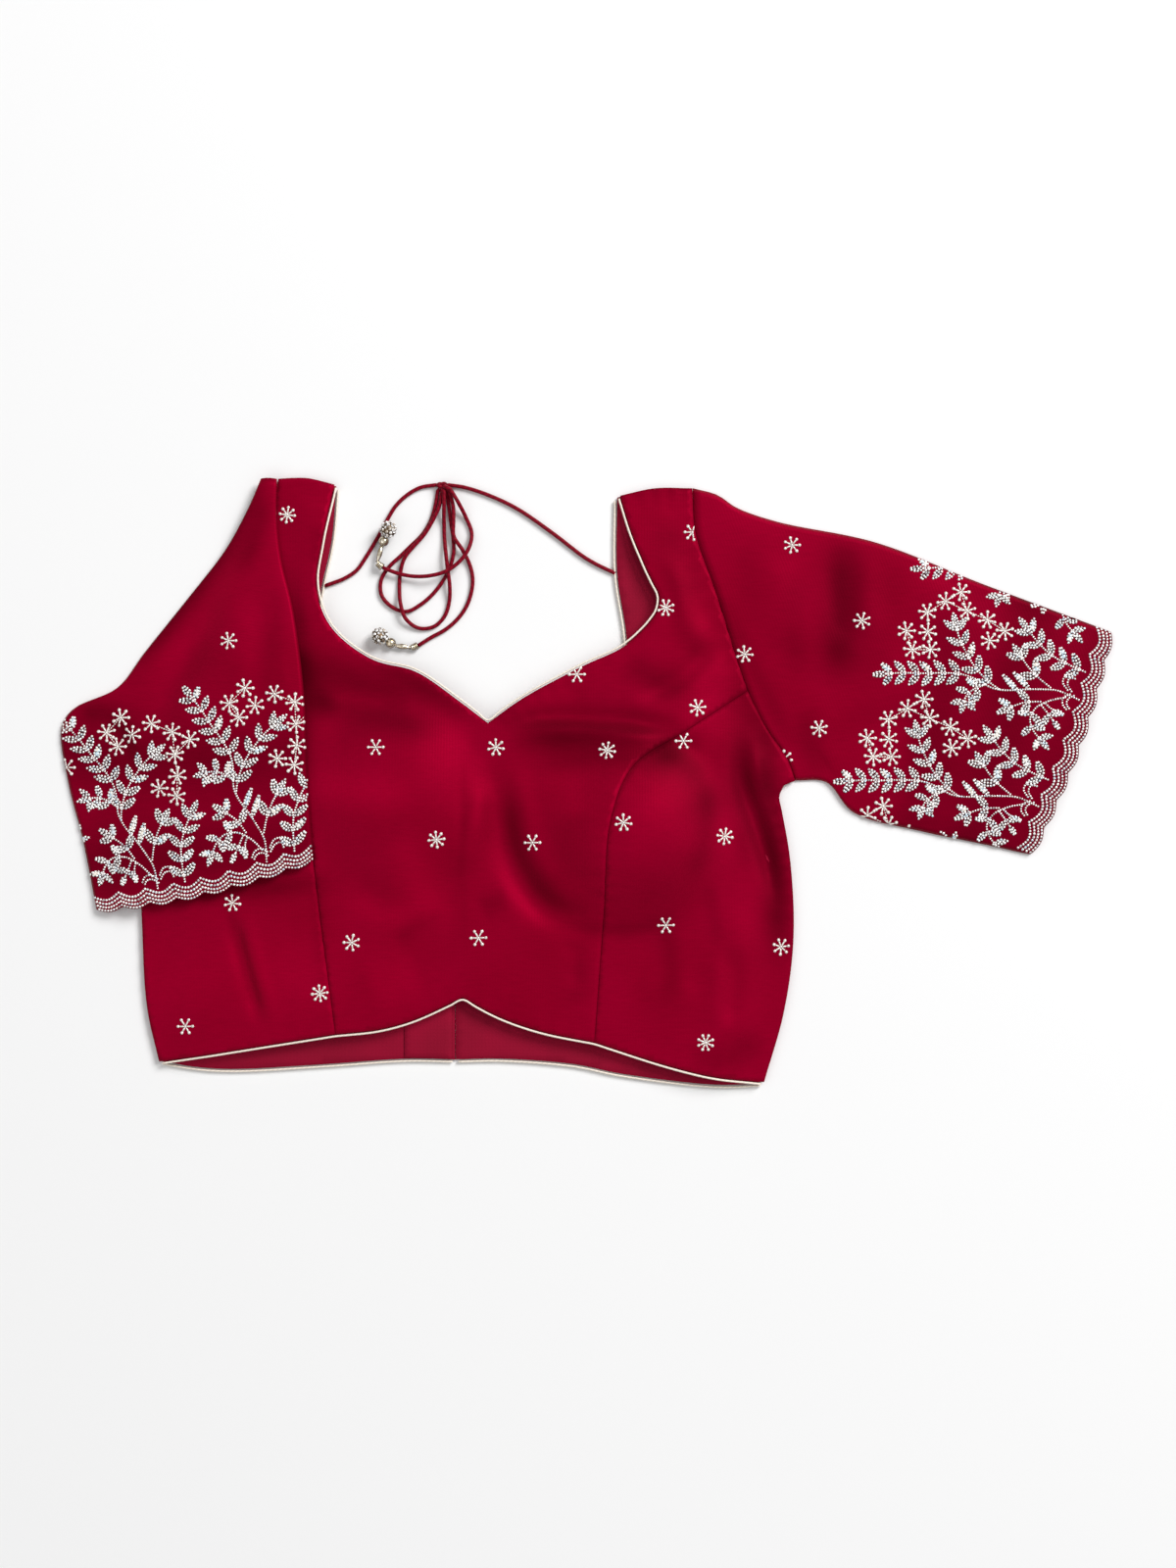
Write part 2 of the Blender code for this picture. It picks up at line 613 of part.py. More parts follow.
def build_front():
    centre = outline_of(
        (SHOULDER_LEFT, SEAM_INSET, False), (NECK_FRONT_LEFT, EDGE_INSET, False),
        (NECK_FRONT_RIGHT, EDGE_INSET, False), (SHOULDER_RIGHT, SEAM_INSET, False),
        (ARMHOLE_RIGHT_TOP, SEAM_INSET, False), (PRINCESS_RIGHT, SEAM_INSET, False),
        (HEM_FRONT_RIGHT, EDGE_INSET, True), (HEM_FRONT_LEFT, EDGE_INSET, True),
        (PRINCESS_LEFT, SEAM_INSET, True), (ARMHOLE_LEFT_TOP, SEAM_INSET, True))
    side_left = outline_of(
        (PRINCESS_LEFT, SEAM_INSET, False), (HEM_SIDE_LEFT, EDGE_INSET, True),
        (SIDE_LEFT, SEAM_INSET, True), (ARMHOLE_LEFT_LOW, SEAM_INSET, True))
    side_right = outline_of(
        (ARMHOLE_RIGHT_LOW, SEAM_INSET, False), (UNDERARM_RIGHT, SEAM_INSET, False),
        (SIDE_RIGHT, SEAM_INSET, False), (HEM_SIDE_RIGHT, EDGE_INSET, True),
        (PRINCESS_RIGHT, SEAM_INSET, True))
    panel("front_centre", centre, front_bottom, FRONT_THICK, "silk", GRID_STEP)
    panel("front_side_left", side_left, front_bottom, FRONT_THICK, "silk", GRID_STEP)
    panel("front_side_right", side_right, front_bottom, FRONT_THICK, "silk", GRID_STEP)


def build_piping():
    def shortened(points, start, end):
        points = points.copy()
        for at, beside, cut in ((0, 1, start), (-1, -2, end)):
            run = points[beside] - points[at]
            points[at] += run * cut / np.linalg.norm(run)
        return points

    piping("neck_piping_front", shortened(joined(NECK_FRONT_LEFT, NECK_FRONT_RIGHT), 1, 1), front_bottom)
    hem = joined(HEM_SIDE_LEFT, HEM_FRONT_LEFT, HEM_FRONT_RIGHT, HEM_SIDE_RIGHT)
    piping("hem_piping_front", shortened(hem, 1, 1), front_bottom)
    for side, neck, hem in (("left", NECK_BACK_LEFT, HEM_BACK_LEFT),
                            ("right", NECK_BACK_RIGHT, HEM_BACK_RIGHT[::-1])):
        piping(f"neck_piping_back_{side}", shortened(joined(neck), 1, 1), flat_at(BACK_PIPING_Z))
        piping(f"hem_piping_back_{side}", shortened(joined(hem), 1, 1), flat_at(BACK_PIPING_Z))


def build_sleeves():
    right_armhole = np.vstack([smooth(ARMHOLE_RIGHT_TOP, 6.0)[:-1], smooth(ARMHOLE_RIGHT_LOW, 6.0)])
    right_armhole = right_armhole + ARMHOLE_SEAM
    sleeve("sleeve_right", right_armhole, RIGHT_TOP_FOLD, RIGHT_LOW_FOLD, CUFF_BOW["right"],
           RIGHT_SLEEVE_AIR, flat_at(0.0))
    sleeve("sleeve_left", LEFT_END, LEFT_TOP_FOLD, LEFT_LOW_FOLD, CUFF_BOW["left"],
           LEFT_SLEEVE_AIR, sleeve_rest)


def build_ties():
    laid = []
    cord_ends = {}
    for stretch in CORD_ORDER:
        plan = smooth(CORD_ROUTES[stretch], CORD_STEP)
        route = lifted(plan, laid)
        laid.append(between(route)[0])
        cord_ends[stretch] = route[-1]
        add_cord(f"tie_{stretch}", route)
    across, along, high = KNOT_RADII
    knot = turned("tie_knot", (*KNOT_CENTRE, high), 1.0, 2.0, (0, 1, 0), "cord")
    middle = Vector(placed((*KNOT_CENTRE, high)))
    for vertex in knot.data.vertices:
        vertex.co = middle + (vertex.co - middle) * Vector((across, along, high))
    for side, pieces in TASSELS.items():
        at = np.maximum(cord_ends[f"end_{side}"], (-math.inf, -math.inf, CAP_HEIGHT))
        for kind, radius, length, heading, pitch in pieces:
            flat = math.cos(math.radians(pitch))
            axis = np.array((flat * math.cos(math.radians(heading)),
                             flat * math.sin(math.radians(heading)), math.sin(math.radians(pitch))))
            centre = at + axis * (CLEAR + length / 2)
            at = at + axis * (CLEAR + length)
            finish = "crystal" if kind == "crystal" else "gold"
            turned(f"tassel_{side}_{kind}", centre, radius, length, axis, finish)


def main():
    clear_scene()
    build_back()
    build_front()
    build_piping()
    build_sleeves()
    build_ties()


if __name__ == "__main__":
    main()
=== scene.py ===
"""Crimson silk saree blouse, laid flat: cloth, piping, tie cords, tassels and bead embroidery.

Tables are in millimetres in the blouse's own frame: X across the chest, Y from hem to shoulder,
Z up from the surface that it lies on.
"""
import math

import bmesh
import bpy
import numpy as np
from bpy.props import FloatProperty, FloatVectorProperty, PointerProperty
from mathutils import Matrix, Vector
from mathutils.bvhtree import BVHTree
from mathutils.geometry import delaunay_2d_cdt


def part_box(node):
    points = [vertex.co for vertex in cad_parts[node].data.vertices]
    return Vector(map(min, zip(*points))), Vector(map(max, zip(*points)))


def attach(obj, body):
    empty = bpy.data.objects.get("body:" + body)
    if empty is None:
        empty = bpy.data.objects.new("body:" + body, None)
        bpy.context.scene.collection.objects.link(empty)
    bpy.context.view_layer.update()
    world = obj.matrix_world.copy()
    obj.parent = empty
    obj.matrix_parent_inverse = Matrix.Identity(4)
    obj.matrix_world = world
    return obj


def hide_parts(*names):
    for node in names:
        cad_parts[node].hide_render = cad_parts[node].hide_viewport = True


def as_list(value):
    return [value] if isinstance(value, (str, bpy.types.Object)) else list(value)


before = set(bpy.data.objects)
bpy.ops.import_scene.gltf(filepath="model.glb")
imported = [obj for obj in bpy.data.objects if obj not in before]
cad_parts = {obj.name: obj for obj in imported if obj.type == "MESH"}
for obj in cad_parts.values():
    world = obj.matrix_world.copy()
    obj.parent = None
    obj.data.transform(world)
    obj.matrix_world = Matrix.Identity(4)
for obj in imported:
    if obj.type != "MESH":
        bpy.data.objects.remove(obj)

bl_info = {
    "name": "Embroidered Saree Blouse",
    "version": (1, 0, 0),
    "blender": (4, 5, 0),
    "location": "View3D > Sidebar > Blouse",
    "description": "Builds a crimson silk blouse with beaded sleeves, piping and a tied back cord",
    "category": "Object",
}

MM = 0.001
# Where the part's origin lies in the tables below
ORIGIN = np.array((-0.4, 1.1))
BODY = "root"
# Heights clear above and below the whole blouse, where straight drops start
ABOVE = 90.0
BELOW = -9.0
UP = Vector((0, 0, 1))

# Thickness of the front's cloth and of the back's, and where each flat layer's under face lies
FRONT_THICK = 1.2
BACK_THICK = 1.0
LAYER_LEVEL = {"back": 0.0, "back_lining": 1.3, "back_placket": 2.6}
FRONT_PANELS = ("front_centre", "front_side_left", "front_side_right")

# Neck and hem curves that the piping follows
NECK_FRONT_LEFT = ((-159, 190), (-167, 151), (-170, 126), (-161, 101), (-136, 81),
                   (-108, 73), (-80, 54), (-63, 41))
NECK_FRONT_RIGHT = ((-63, 41), (-42, 56), (-5, 76), (25, 91), (44, 115), (37, 133),
                    (27, 157), (19, 183))
HEM_FRONT_LEFT = ((-159, -158), (-132, -155), (-110, -149), (-79, -135))
HEM_FRONT_RIGHT = ((-79, -135), (-56, -147), (-30, -156), (4, -163))
HEM_SIDE_LEFT = ((-271, -176), (-222, -168), (-159, -158))
HEM_SIDE_RIGHT = ((4, -163), (51, -178), (80, -185), (111, -189))
NECK_BACK_LEFT = ((-158, 189), (-161, 155), (-169, 116), (-172, 60), (-150, -14), (-118, -46),
                  (-84, -55))
NECK_BACK_RIGHT = ((17, 182), (17, 134), (23, 93), (24, 50), (6, -14), (-34, -46), (-84, -55))
HEM_BACK_LEFT = ((-84, -175), (-114, -174.5), (-167, -178), (-222, -181), (-246, -180),
                 (-271, -176))
HEM_BACK_RIGHT = ((111, -190), (81, -191), (21, -184), (-9, -178), (-55, -174.5), (-84, -175))
PIPING_LINES = {
    "neck_piping_front": (NECK_FRONT_LEFT, NECK_FRONT_RIGHT),
    "neck_piping_back_left": (NECK_BACK_LEFT,),
    "neck_piping_back_right": (NECK_BACK_RIGHT,),
    "hem_piping_front": (HEM_SIDE_LEFT, HEM_FRONT_LEFT, HEM_FRONT_RIGHT, HEM_SIDE_RIGHT),
    "hem_piping_back_left": (HEM_BACK_LEFT,),
    "hem_piping_back_right": (HEM_BACK_RIGHT[::-1],),
}
# Half the width and half the height of the piping
PIPING_HALF = (0.64, 0.95)

# Sleeves: the armhole and the two folds of each flat tube, from the armhole to the cuff, how far
# the cuff bows out, and the air inside at shares of the length
ARMHOLE_RIGHT = ((66.2, 188.3), (68.1, 160.3), (81.1, 122.2), (101.2, 60.1), (113.1, 36.0),
                 (126.1, 17.0), (131.1, 3.2))
SLEEVES = {
    "right": {
        "armhole": ARMHOLE_RIGHT,
        "top": ((82, 184), (94, 176), (120, 167), (182, 154), (249, 128), (333.5, 96.5)),
        "low": ((151, 2), (168, -17), (211, -29), (254, -38), (282.5, -44.5)),
        "bow": 4.5,
        "air": ((0.0, 1.4), (0.25, 2.6), (0.6, 3.4), (1.0, 3.0)),
    },
    "left": {
        "armhole": ((-206.5, 193.5), (-201.5, 193.9), (-196.2, 193.4)),
        "top": ((-214, 176), (-228, 151), (-251, 121.5), (-281, 84), (-298, 62),
                (-326, 48.5), (-333.5, 37), (-329, 1), (-320, -34), (-310.5, -81)),
        "low": ((-196.4, 168), (-193.4, 142), (-186, 112), (-179, 63), (-176, 1), (-172, -49)),
        "bow": 5.0,
        "air": ((0.0, 0.8), (0.25, 2.6), (0.6, 3.4), (1.0, 2.8)),
    },
}
SCALLOPS_ACROSS = 8
SCALLOP_DEPTH = 2.6
# Silk and lining together
SLEEVE_WALL = 1.2

# Tie cords: the points that each stretch passes through
CORD_ROUTES = {
    "lead_left": ((-163.6, 127.5), (-149, 134), (-141, 144), (-131, 161), (-121, 178), (-108, 188),
                  (-96.6, 190.3)),
    "lead_right": ((14.2, 135.8), (0, 143), (-24, 161), (-48, 177), (-75, 188), (-88.1, 190.3)),
    "loop_left": ((-95.2, 186.4), (-97.5, 174), (-102.5, 162), (-117, 147), (-130, 133),
                  (-131, 121), (-118, 110), (-104, 116), (-91, 131), (-85, 148), (-86.5, 164),
                  (-89.2, 185.6)),
    "loop_right": ((-92.3, 185.8), (-94.3, 176), (-104, 158), (-116, 144), (-119.5, 126),
                   (-115, 105), (-104, 99), (-93, 104), (-87.5, 119), (-89, 139), (-91, 158),
                   (-90.9, 185.4)),
    "end_left": ((-87.0, 187.2), (-80.5, 176), (-73.5, 158), (-78, 145), (-90, 135), (-105, 132),
                 (-120, 134), (-129.6, 137.6)),
    "end_right": ((-88.0, 186.4), (-84.8, 174), (-85, 158), (-77, 145), (-73, 130), (-76.5, 114.5),
                  (-83.5, 104.5), (-92.5, 97.3), (-101.5, 92.6), (-107.5, 88.6)),
}
CORD_RADIUS = 1.25
# How finely the routes are drawn before they are smoothed again
CORD_STEP = 10.0
# How far each lead goes on into the neck's piping
SEWN_IN = 3.2
KNOT_CENTRE = (-92.3, 189.6)
# Tassel pieces past each cord's end: kind, radius, length, heading and pitch in degrees
TASSELS = {
    "left": (("cap", 2.2, 4.4, 142, 0), ("spindle", 1.0, 11.2, 75, 0),
             ("bead", 2.8, 5.6, 66, 12), ("crystal", 5.1, 10.2, 66, 24)),
    "right": (("cap", 2.2, 4.4, 198, 0), ("spindle", 1.0, 10.0, 172, 3),
              ("bead", 2.8, 5.6, 150, 6), ("crystal", 5.1, 10.2, 147, 20)),
}

# Creases: points, height in mm (below 0 is a trough), half width, lean to its left side
FRONT_CREASES = (
    (((-60, 30), (-57, -20), (-44, -58), (-25, -80), (12, -89)), -2.6, 9, 0.5),
    (((-60, 38), (-30, 43), (0, 43), (48, 36), (76, 16)), -2.4, 6, -0.6),
    (((97, 38), (96, 9), (106, -24), (115, -52), (121, -82)), -2.8, 6, 0.5),
    (((-59, 7), (-70, -26), (-84, -61)), 1.4, 9, 0.0),
    (((-80, 28), (-80, -50), (-80, -122)), -0.5, 2.5, 0.0),
    (((-225, -76), (-222, -94), (-216, -118), (-210, -139), (-206, -157)), -1.8, 5, 0.5),
    (((90, -98), (92, -126), (88, -156)), -1.5, 7, -0.4),
    (((-6, -96), (-8, -112), (-4, -130)), -1.0, 7, 0.0),
    (((-168, 63), (-140, 55), (-112, 50)), -1.6, 8, 0.3),
    (((-150, -60), (-128, -76), (-100, -80)), -1.2, 10, 0.0),
    (((30, -120), (50, -130), (72, -128)), 0.9, 12, 0.0),
    (((82, 96), (60, 70), (28, 52)), -1.3, 7, 0.4),
    (((50, 150), (60, 110), (78, 76)), 0.8, 8, 0.0),
    (((-190, 150), (-196, 110), (-206, 76)), 0.7, 8, 0.0),
)
SLEEVE_CREASES = {
    "right": (
        (((164, 152), (161, 120), (166, 84)), -1.3, 9, 0.4),
        (((110, 150), (122, 118), (124, 80)), 0.9, 12, 0.0),
        (((138, 10), (176, 34), (222, 44)), -0.8, 11, 0.3),
        (((200, 140), (230, 96), (236, 50)), 0.6, 16, 0.0),
        (((150, 60), (200, 66), (262, 52)), 0.5, 18, 0.0),
    ),
    "left": (
        (((-330, 40), (-313, 40), (-300, 34), (-284, 14)), -1.5, 5, 0.5),
        (((-232, 132), (-222, 96), (-216, 52)), 1.0, 13, 0.0),
        (((-196, 130), (-206, 84), (-204, 30)), -0.9, 9, 0.4),
        (((-284, 60), (-262, 10), (-256, -40)), 0.7, 16, 0.0),
        (((-240, 100), (-262, 60), (-268, 20)), -0.9, 10, -0.3),
    ),
}

# Painted shade and painted light on the silk: strokes that make its colour darker in its folds
# and under cast shadows, brighter in a few places: points, share of its brightness, half width
FRONT_PAINTED_SHADE = (
    (((-56, 27), (-23, 27), (13, 24), (48, 20), (76, 24)), -0.34, 9),
    (((-50, 12), (-20, 15), (30, 14), (60, 8)), -0.14, 7),
    (((-42, 8), (-46, -20), (-40, -44), (-24, -66), (-2, -78)), -0.32, 9),
    (((-24, -84), (8, -90), (40, -88), (62, -76)), -0.22, 5),
    (((70, 14), (75, -12), (72, -38), (62, -66)), -0.22, 7),
    (((98, 50), (110, 20), (115, -14), (119, -56), (121, -130)), -0.56, 10),
    (((88, 52), (96, 12), (99, -24), (103, -64)), -0.36, 9),
    (((40, 28), (58, 16), (76, 2)), -0.2, 9),
    (((-196, 150), (-190, 120), (-174, 88)), -0.22, 9),
    (((-194, 54), (-140, 46), (-80, 30)), -0.26, 9),
    (((20, 166), (26, 128), (36, 102)), 0.2, 8),
    (((82, 70), (104, 42), (126, 10)), -0.3, 13),
    (((-80, 50), (-30, 39), (0, 37), (36, 34), (72, 19)), -0.38, 9),
    (((56, 124), (63, 100), (74, 72)), -0.2, 9),
    (((-14, 190), (40, 193), (98, 190)), -0.3, 8),
    (((-166, 176), (-163, 120), (-158, 90)), -0.28, 7),
    (((-194, 88), (-173, 62), (-158, 40)), -0.36, 11),
    (((-146, 84), (-100, 62), (-62, 34)), -0.2, 7),
    (((-330, -70), (-240, -68), (-140, -58)), -0.36, 7),
    (((-8, -104), (-6, -142)), -0.14, 10),
    (((-174, 106), (-170, 78), (-146, 70), (-107, 58), (-72, 36)), -0.34, 12),
    (((-165, 24), (-135, 38), (-93, 30)), -0.16, 10),
    (((-66, 10), (-77, -24), (-82, -68), (-83, -122)), -0.1, 3.5),
    (((-126, -100), (-107, -88), (-88, -80)), -0.24, 7),
    (((-70, -78), (-60, -74), (-48, -70)), -0.22, 8),
    (((-228, -62), (-221, -104), (-213, -146)), -0.18, 3.5),
    (((-170, -50), (-168, -90), (-166, -130)), -0.12, 5),
    (((77, 134), (97, 85), (112, 48), (122, 28)), -0.16, 9),
    (((-187, 150), (-182, 104), (-178, 40), (-174, -40)), -0.3, 6),
    (((60, -170), (90, -172), (112, -152)), -0.22, 12),
    (((48, -78), (52, -112), (50, -142)), -0.22, 7),
    (((74, -56), (84, -104)), -0.14, 5),
    (((18, 82), (44, 66), (72, 56)), -0.32, 11),
    (((-20, 60), (13, 54), (48, 46)), -0.14, 8),
    (((34, 26), (64, 4), (82, -30)), -0.3, 22),
    (((44, 176), (54, 146), (68, 108)), -0.28, 15),
    (((20, -70), (50, -60), (66, -30)), -0.1, 18),
    (((-190, 0), (-145, -3), (-100, -8)), 0.3, 13),
    (((-124, -24), (-106, -60), (-100, -100)), 0.34, 15),
    (((-14, 14), (-8, -24)), 0.26, 13),
    (((-4, -24), (46, -36)), 0.05, 24),
    (((-320, -120), (-230, -118), (-130, -112)), 0.18, 28),
    (((-142, -128), (-104, -114)), 0.2, 18),
)
# Painted shade and painted light on the sleeves' silk, in the same columns
SLEEVE_PAINTED_SHADE = {
    "right": (
        (((160, 166), (161, 124), (159, 92), (158, 56)), -0.56, 13),
        (((132, 144), (130, 100), (134, 60)), -0.2, 9),
        (((104, 160), (100, 130), (108, 96)), -0.1, 8),
        (((80, 128), (100, 84), (120, 44), (132, 14)), -0.18, 6),
        (((139, 52), (141, 24), (152, 2)), -0.2, 8),
        (((176, -18), (216, -26), (262, -36)), -0.14, 8),
        (((146, 180), (190, 159), (240, 139), (300, 113), (352, 92)), -0.28, 8),
        (((236, 150), (224, 60), (196, -60)), -0.34, 18),
        (((192, 160), (186, 110), (182, 50)), -0.14, 14),
        (((306, 200), (266, 50), (230, -110)), -0.42, 26),
        (((356, 180), (308, 20), (262, -130)), -0.36, 22),
    ),
    "left": (
        (((-202, 192), (-208, 160), (-222, 128)), -0.26, 7),
        (((-328, 44), (-301, 47), (-288, 26)), -0.3, 8),
        (((-196, 120), (-190, 60), (-184, 0)), -0.04, 9),
        (((-226, 96), (-246, 66), (-252, 30)), -0.05, 18),
        (((-200, 216), (-230, 154), (-262, 109), (-304, 60)), -0.46, 8),
        (((-212, 156), (-246, 98), (-290, 62)), 0.16, 9),
        (((-430, 30), (-256, 16), (-80, 18)), -0.42, 24),
        (((-410, -62), (-250, -44), (-80, -24)), -0.4, 26),
    ),
}

# Bead embroidery of one plant, in mm from its root: s along the cuff, t up the sleeve
# Stems: points, share of the stem where leaves start and end, pairs, leaf length and width,
# spread, tip leaf
STEMS = (
    (((1, 10), (2, 24), (-1, 34), (-5, 44), (-9, 53), (-10.5, 61), (-9, 70), (-9, 80), (-12, 90),
      (-17, 102), (-21, 113), (-25, 122)), 0.63, 0.97, 6, 9.0, 5.3, 48, True),
    (((-10, 56), (-7.5, 64), (-2, 74), (5, 82), (13, 89), (18, 92)),
     0.16, 0.95, 5, 9.6, 5.3, 42, True),
    (((-10, 65), (-15, 70.5), (-21, 73.5), (-25, 73.5)), 0.3, 0.95, 3, 7.6, 4.9, 62, True),
    (((2, 28), (6, 38), (10, 45), (14, 50)), 0.42, 0.95, 2, 10.0, 5.6, 42, True),
    (((19, 11), (20, 24), (22, 34), (27, 44), (32, 51)), 0.1, 0.94, 5, 9.6, 5.4, 48, True),
    (((0, 18), (-6, 27), (-13, 33), (-21, 34), (-27, 30), (-31, 24)),
     0.56, 0.96, 3, 7.6, 4.9, 60, True),
    (((-10, 31), (-14, 25), (-17, 21)), 0.6, 0.6, 1, 6.8, 4.7, 60, True),
    (((-8, 29), (-10, 25), (-10.5, 22)), 0.5, 0.5, 0, 6.4, 4.6, 0, True),
    (((-8, 31), (-12, 40), (-17, 46), (-19, 48)), 0.35, 0.9, 2, 8.6, 5.2, 52, True),
    (((3, 16), (-1, 19.6), (-5, 19), (-8, 15)), 0.5, 0.5, 0, 0, 0, 0, False),
    (((3, 13.6), (-1, 16.9), (-4.4, 16.6), (-6.6, 14)), 0.5, 0.5, 0, 0, 0, 0, False),
    (((4, 18), (8, 22.6), (13, 22), (15.5, 17)), 0.5, 0.5, 0, 0, 0, 0, False),
    (((4, 15.6), (8, 19.6), (12, 19.4), (13, 15)), 0.5, 0.5, 0, 0, 0, 0, False),
)
# Slim sequin leaves: foot of each, length, width, heading from the t axis
SLIM_LEAVES = (((-7, 46), 13.5, 4.3, 30), ((-3, 40), 13.8, 4.3, 28))
# Flowers of the chain above the leaves, and which ones a stitch joins
CHAIN = ((5, 119), (-5, 112), (9, 107), (-1, 102), (20.5, 111), (31, 103), (40, 96), (30, 89),
         (29, 76),
         (17, 71), (26, 64))
CHAIN_LINKS = ((0, 1), (1, 3), (4, 5), (5, 7), (6, 7), (7, 8), (8, 10))
# Where the plants root along each cuff from its top fold, which way they lean, how much they
# fan out up the sleeve and how tall they stand
PLANTS = {
    "right": {"roots": (-22, 49, 121, 193), "lean": -1, "fan": 0.0, "tall": 1.05},
    "left": {"roots": (-30, 42, 112, 181), "lean": 1, "fan": 0.0014, "tall": 0.985},
}
# Rows of the cuff's border: depth from the edge, spacing, bead length, bead width
BORDER_ROWS = ((1.0, 2.0, 1.8, 1.5), (3.1, 1.85, 1.7, 1.7), (5.4, 2.1, 1.95, 1.8),
               (7.9, 1.95, 1.8, 1.8))
# Beads of the leaves and of the stems: width and spacing
BEAD = 1.75
BEAD_GAP = 1.9
STEM_BEAD = 1.4
STEM_GAP = 1.6
# Flowers of the chain and scattered ones
CHAIN_RADIUS = 6.1
FLOWER_RADIUS = 5.7
# Where the scattered flowers are sewn
BODY_FLOWERS = ((-133, 24), (-58, 24), (12, 22), (60, 28), (69, 49), (49, 112), (-7, 70), (66, 160),
                (-95, -34), (-35, -36), (22, -23), (86, -32), (49, -88), (122, -102), (74, -162),
                (-69, -96), (-149, -99), (-169, -131), (-254, -152), (-224, -74), (-190, 171))
SLEEVE_FLOWERS = {"right": ((129, 152), (173, 104), (99, 83), (146, 36), (124, 17)),
                  "left": ((-226, 91),)}


# Curves and outlines

def smooth(points, step):
    """Evenly spaced points on a smooth curve through the given points, ends kept."""
    p = np.array(points, float)
    if len(p) == 2:
        dense = np.linspace(p[0], p[1], 32)
    else:
        q = np.vstack([2 * p[0] - p[1], p, 2 * p[-1] - p[-2]])
        runs = [spline_piece(*q[i - 1:i + 3]) for i in range(1, len(q) - 2)]
        dense = np.vstack(runs + [q[-2:-1]])
    run = run_along(dense)
    at = np.linspace(0.0, run[-1], max(1, round(run[-1] / step)) + 1)
    return np.column_stack([np.interp(at, run, dense[:, k]) for k in range(dense.shape[1])])


def spline_piece(a, b, c, d):
    """Sixteen points of a centripetal spline from b towards c."""
    knots = [0.0]
    for start, end in ((a, b), (b, c), (c, d)):
        knots.append(knots[-1] + math.sqrt(np.linalg.norm(end - start)) + 1e-9)
    t0, t1, t2, t3 = knots
    t = np.linspace(t1, t2, 16, endpoint=False)[:, None]
    ab = ((t1 - t) * a + (t - t0) * b) / (t1 - t0)
    bc = ((t2 - t) * b + (t - t1) * c) / (t2 - t1)
    cd = ((t3 - t) * c + (t - t2) * d) / (t3 - t2)
    abc = ((t2 - t) * ab + (t - t0) * bc) / (t2 - t0)
    bcd = ((t3 - t) * bc + (t - t1) * cd) / (t3 - t1)
    return ((t2 - t) * abc + (t - t1) * bcd) / (t2 - t1)


def run_along(points):
    """Length from the first point to each point of a line."""
    return np.concatenate([[0.0], np.cumsum(np.linalg.norm(np.diff(points, axis=0), axis=1))])


def joined(*curves, step):
    """One line of points through curves that follow on from each other."""
    parts = [smooth(curve, step) for curve in curves]
    return np.vstack([part[:-1] for part in parts[:-1]] + [parts[-1]])


def nearest_on(line, x, y):
    """Distance from each x, y to a line, how far along it, and on which side (1 is left)."""
    a = line[:-1]
    d = line[1:] - a
    size = np.sum(d * d, axis=1)
    run = run_along(line)
    away = np.empty(len(x))
    along = np.empty(len(x))
    side = np.empty(len(x))
    for start in range(0, len(x), 2000):
        part = slice(start, start + 2000)
        rx = x[part, None] - a[:, 0]
        ry = y[part, None] - a[:, 1]
        t = np.clip((rx * d[:, 0] + ry * d[:, 1]) / size, 0.0, 1.0)
        gap = np.hypot(rx - t * d[:, 0], ry - t * d[:, 1])
        best = gap.argmin(axis=1)
        rows = np.arange(len(best))
        away[part] = gap[rows, best]
        along[part] = run[best] + t[rows, best] * np.sqrt(size[best])
        side[part] = np.sign(d[best, 0] * ry[rows, best] - d[best, 1] * rx[rows, best])
    return away, along, side


def is_inside(outline, x, y):
    """True where x, y lies inside the closed outline."""
    x = np.asarray(x, float)[..., None]
    y = np.asarray(y, float)[..., None]
    a = outline
    b = np.roll(outline, -1, axis=0)
    spans = (a[:, 1] > y) != (b[:, 1] > y)
    rise = np.where(b[:, 1] == a[:, 1], 1.0, b[:, 1] - a[:, 1])
    crossing = x < (b[:, 0] - a[:, 0]) * (y - a[:, 1]) / rise + a[:, 0]
    return np.sum(spans & crossing, axis=-1) % 2 == 1


def inset_outline(p, inset):
    """A closed outline moved inwards all round, corners where the moved edges meet."""
    edge = np.roll(p, -1, axis=0) - p
    edge /= np.linalg.norm(edge, axis=1)[:, None]
    inward = np.column_stack([-edge[:, 1], edge[:, 0]])
    before = np.roll(inward, 1, axis=0)
    mean = inward + before
    share = np.maximum(np.sum(mean * inward, axis=1), 0.5)
    return p + mean * (inset / share)[:, None]


def closed(line):
    """An outline that comes back to its first point."""
    return np.vstack([line, line[:1]])


def ease(t):
    """A soft step from 0 to 1."""
    t = np.clip(t, 0.0, 1.0)
    return t * t * (3.0 - 2.0 * t)


# Heights read from the frame

def in_mm(mesh):
    """A mesh's points in the blouse's frame, in mm."""
    points = np.empty(len(mesh.vertices) * 3)
    mesh.vertices.foreach_get("co", points)
    points = points.reshape(-1, 3) / MM
    points[:, :2] += ORIGIN
    return points


def tree_of(*things):
    """A search tree over the faces of some pieces, in mm."""
    points = []
    faces = []
    for thing in things:
        start = len(points)
        points.extend(map(tuple, in_mm(thing.data)))
        faces.extend([v + start for v in face.vertices] for face in thing.data.polygons)
    return BVHTree.FromPolygons(points, faces)


def fall_on(tree, x, y):
    """Where a straight drop from above meets a piece, and its normal there."""
    return tree.ray_cast(Vector((x, y, ABOVE)), -UP)[:2]


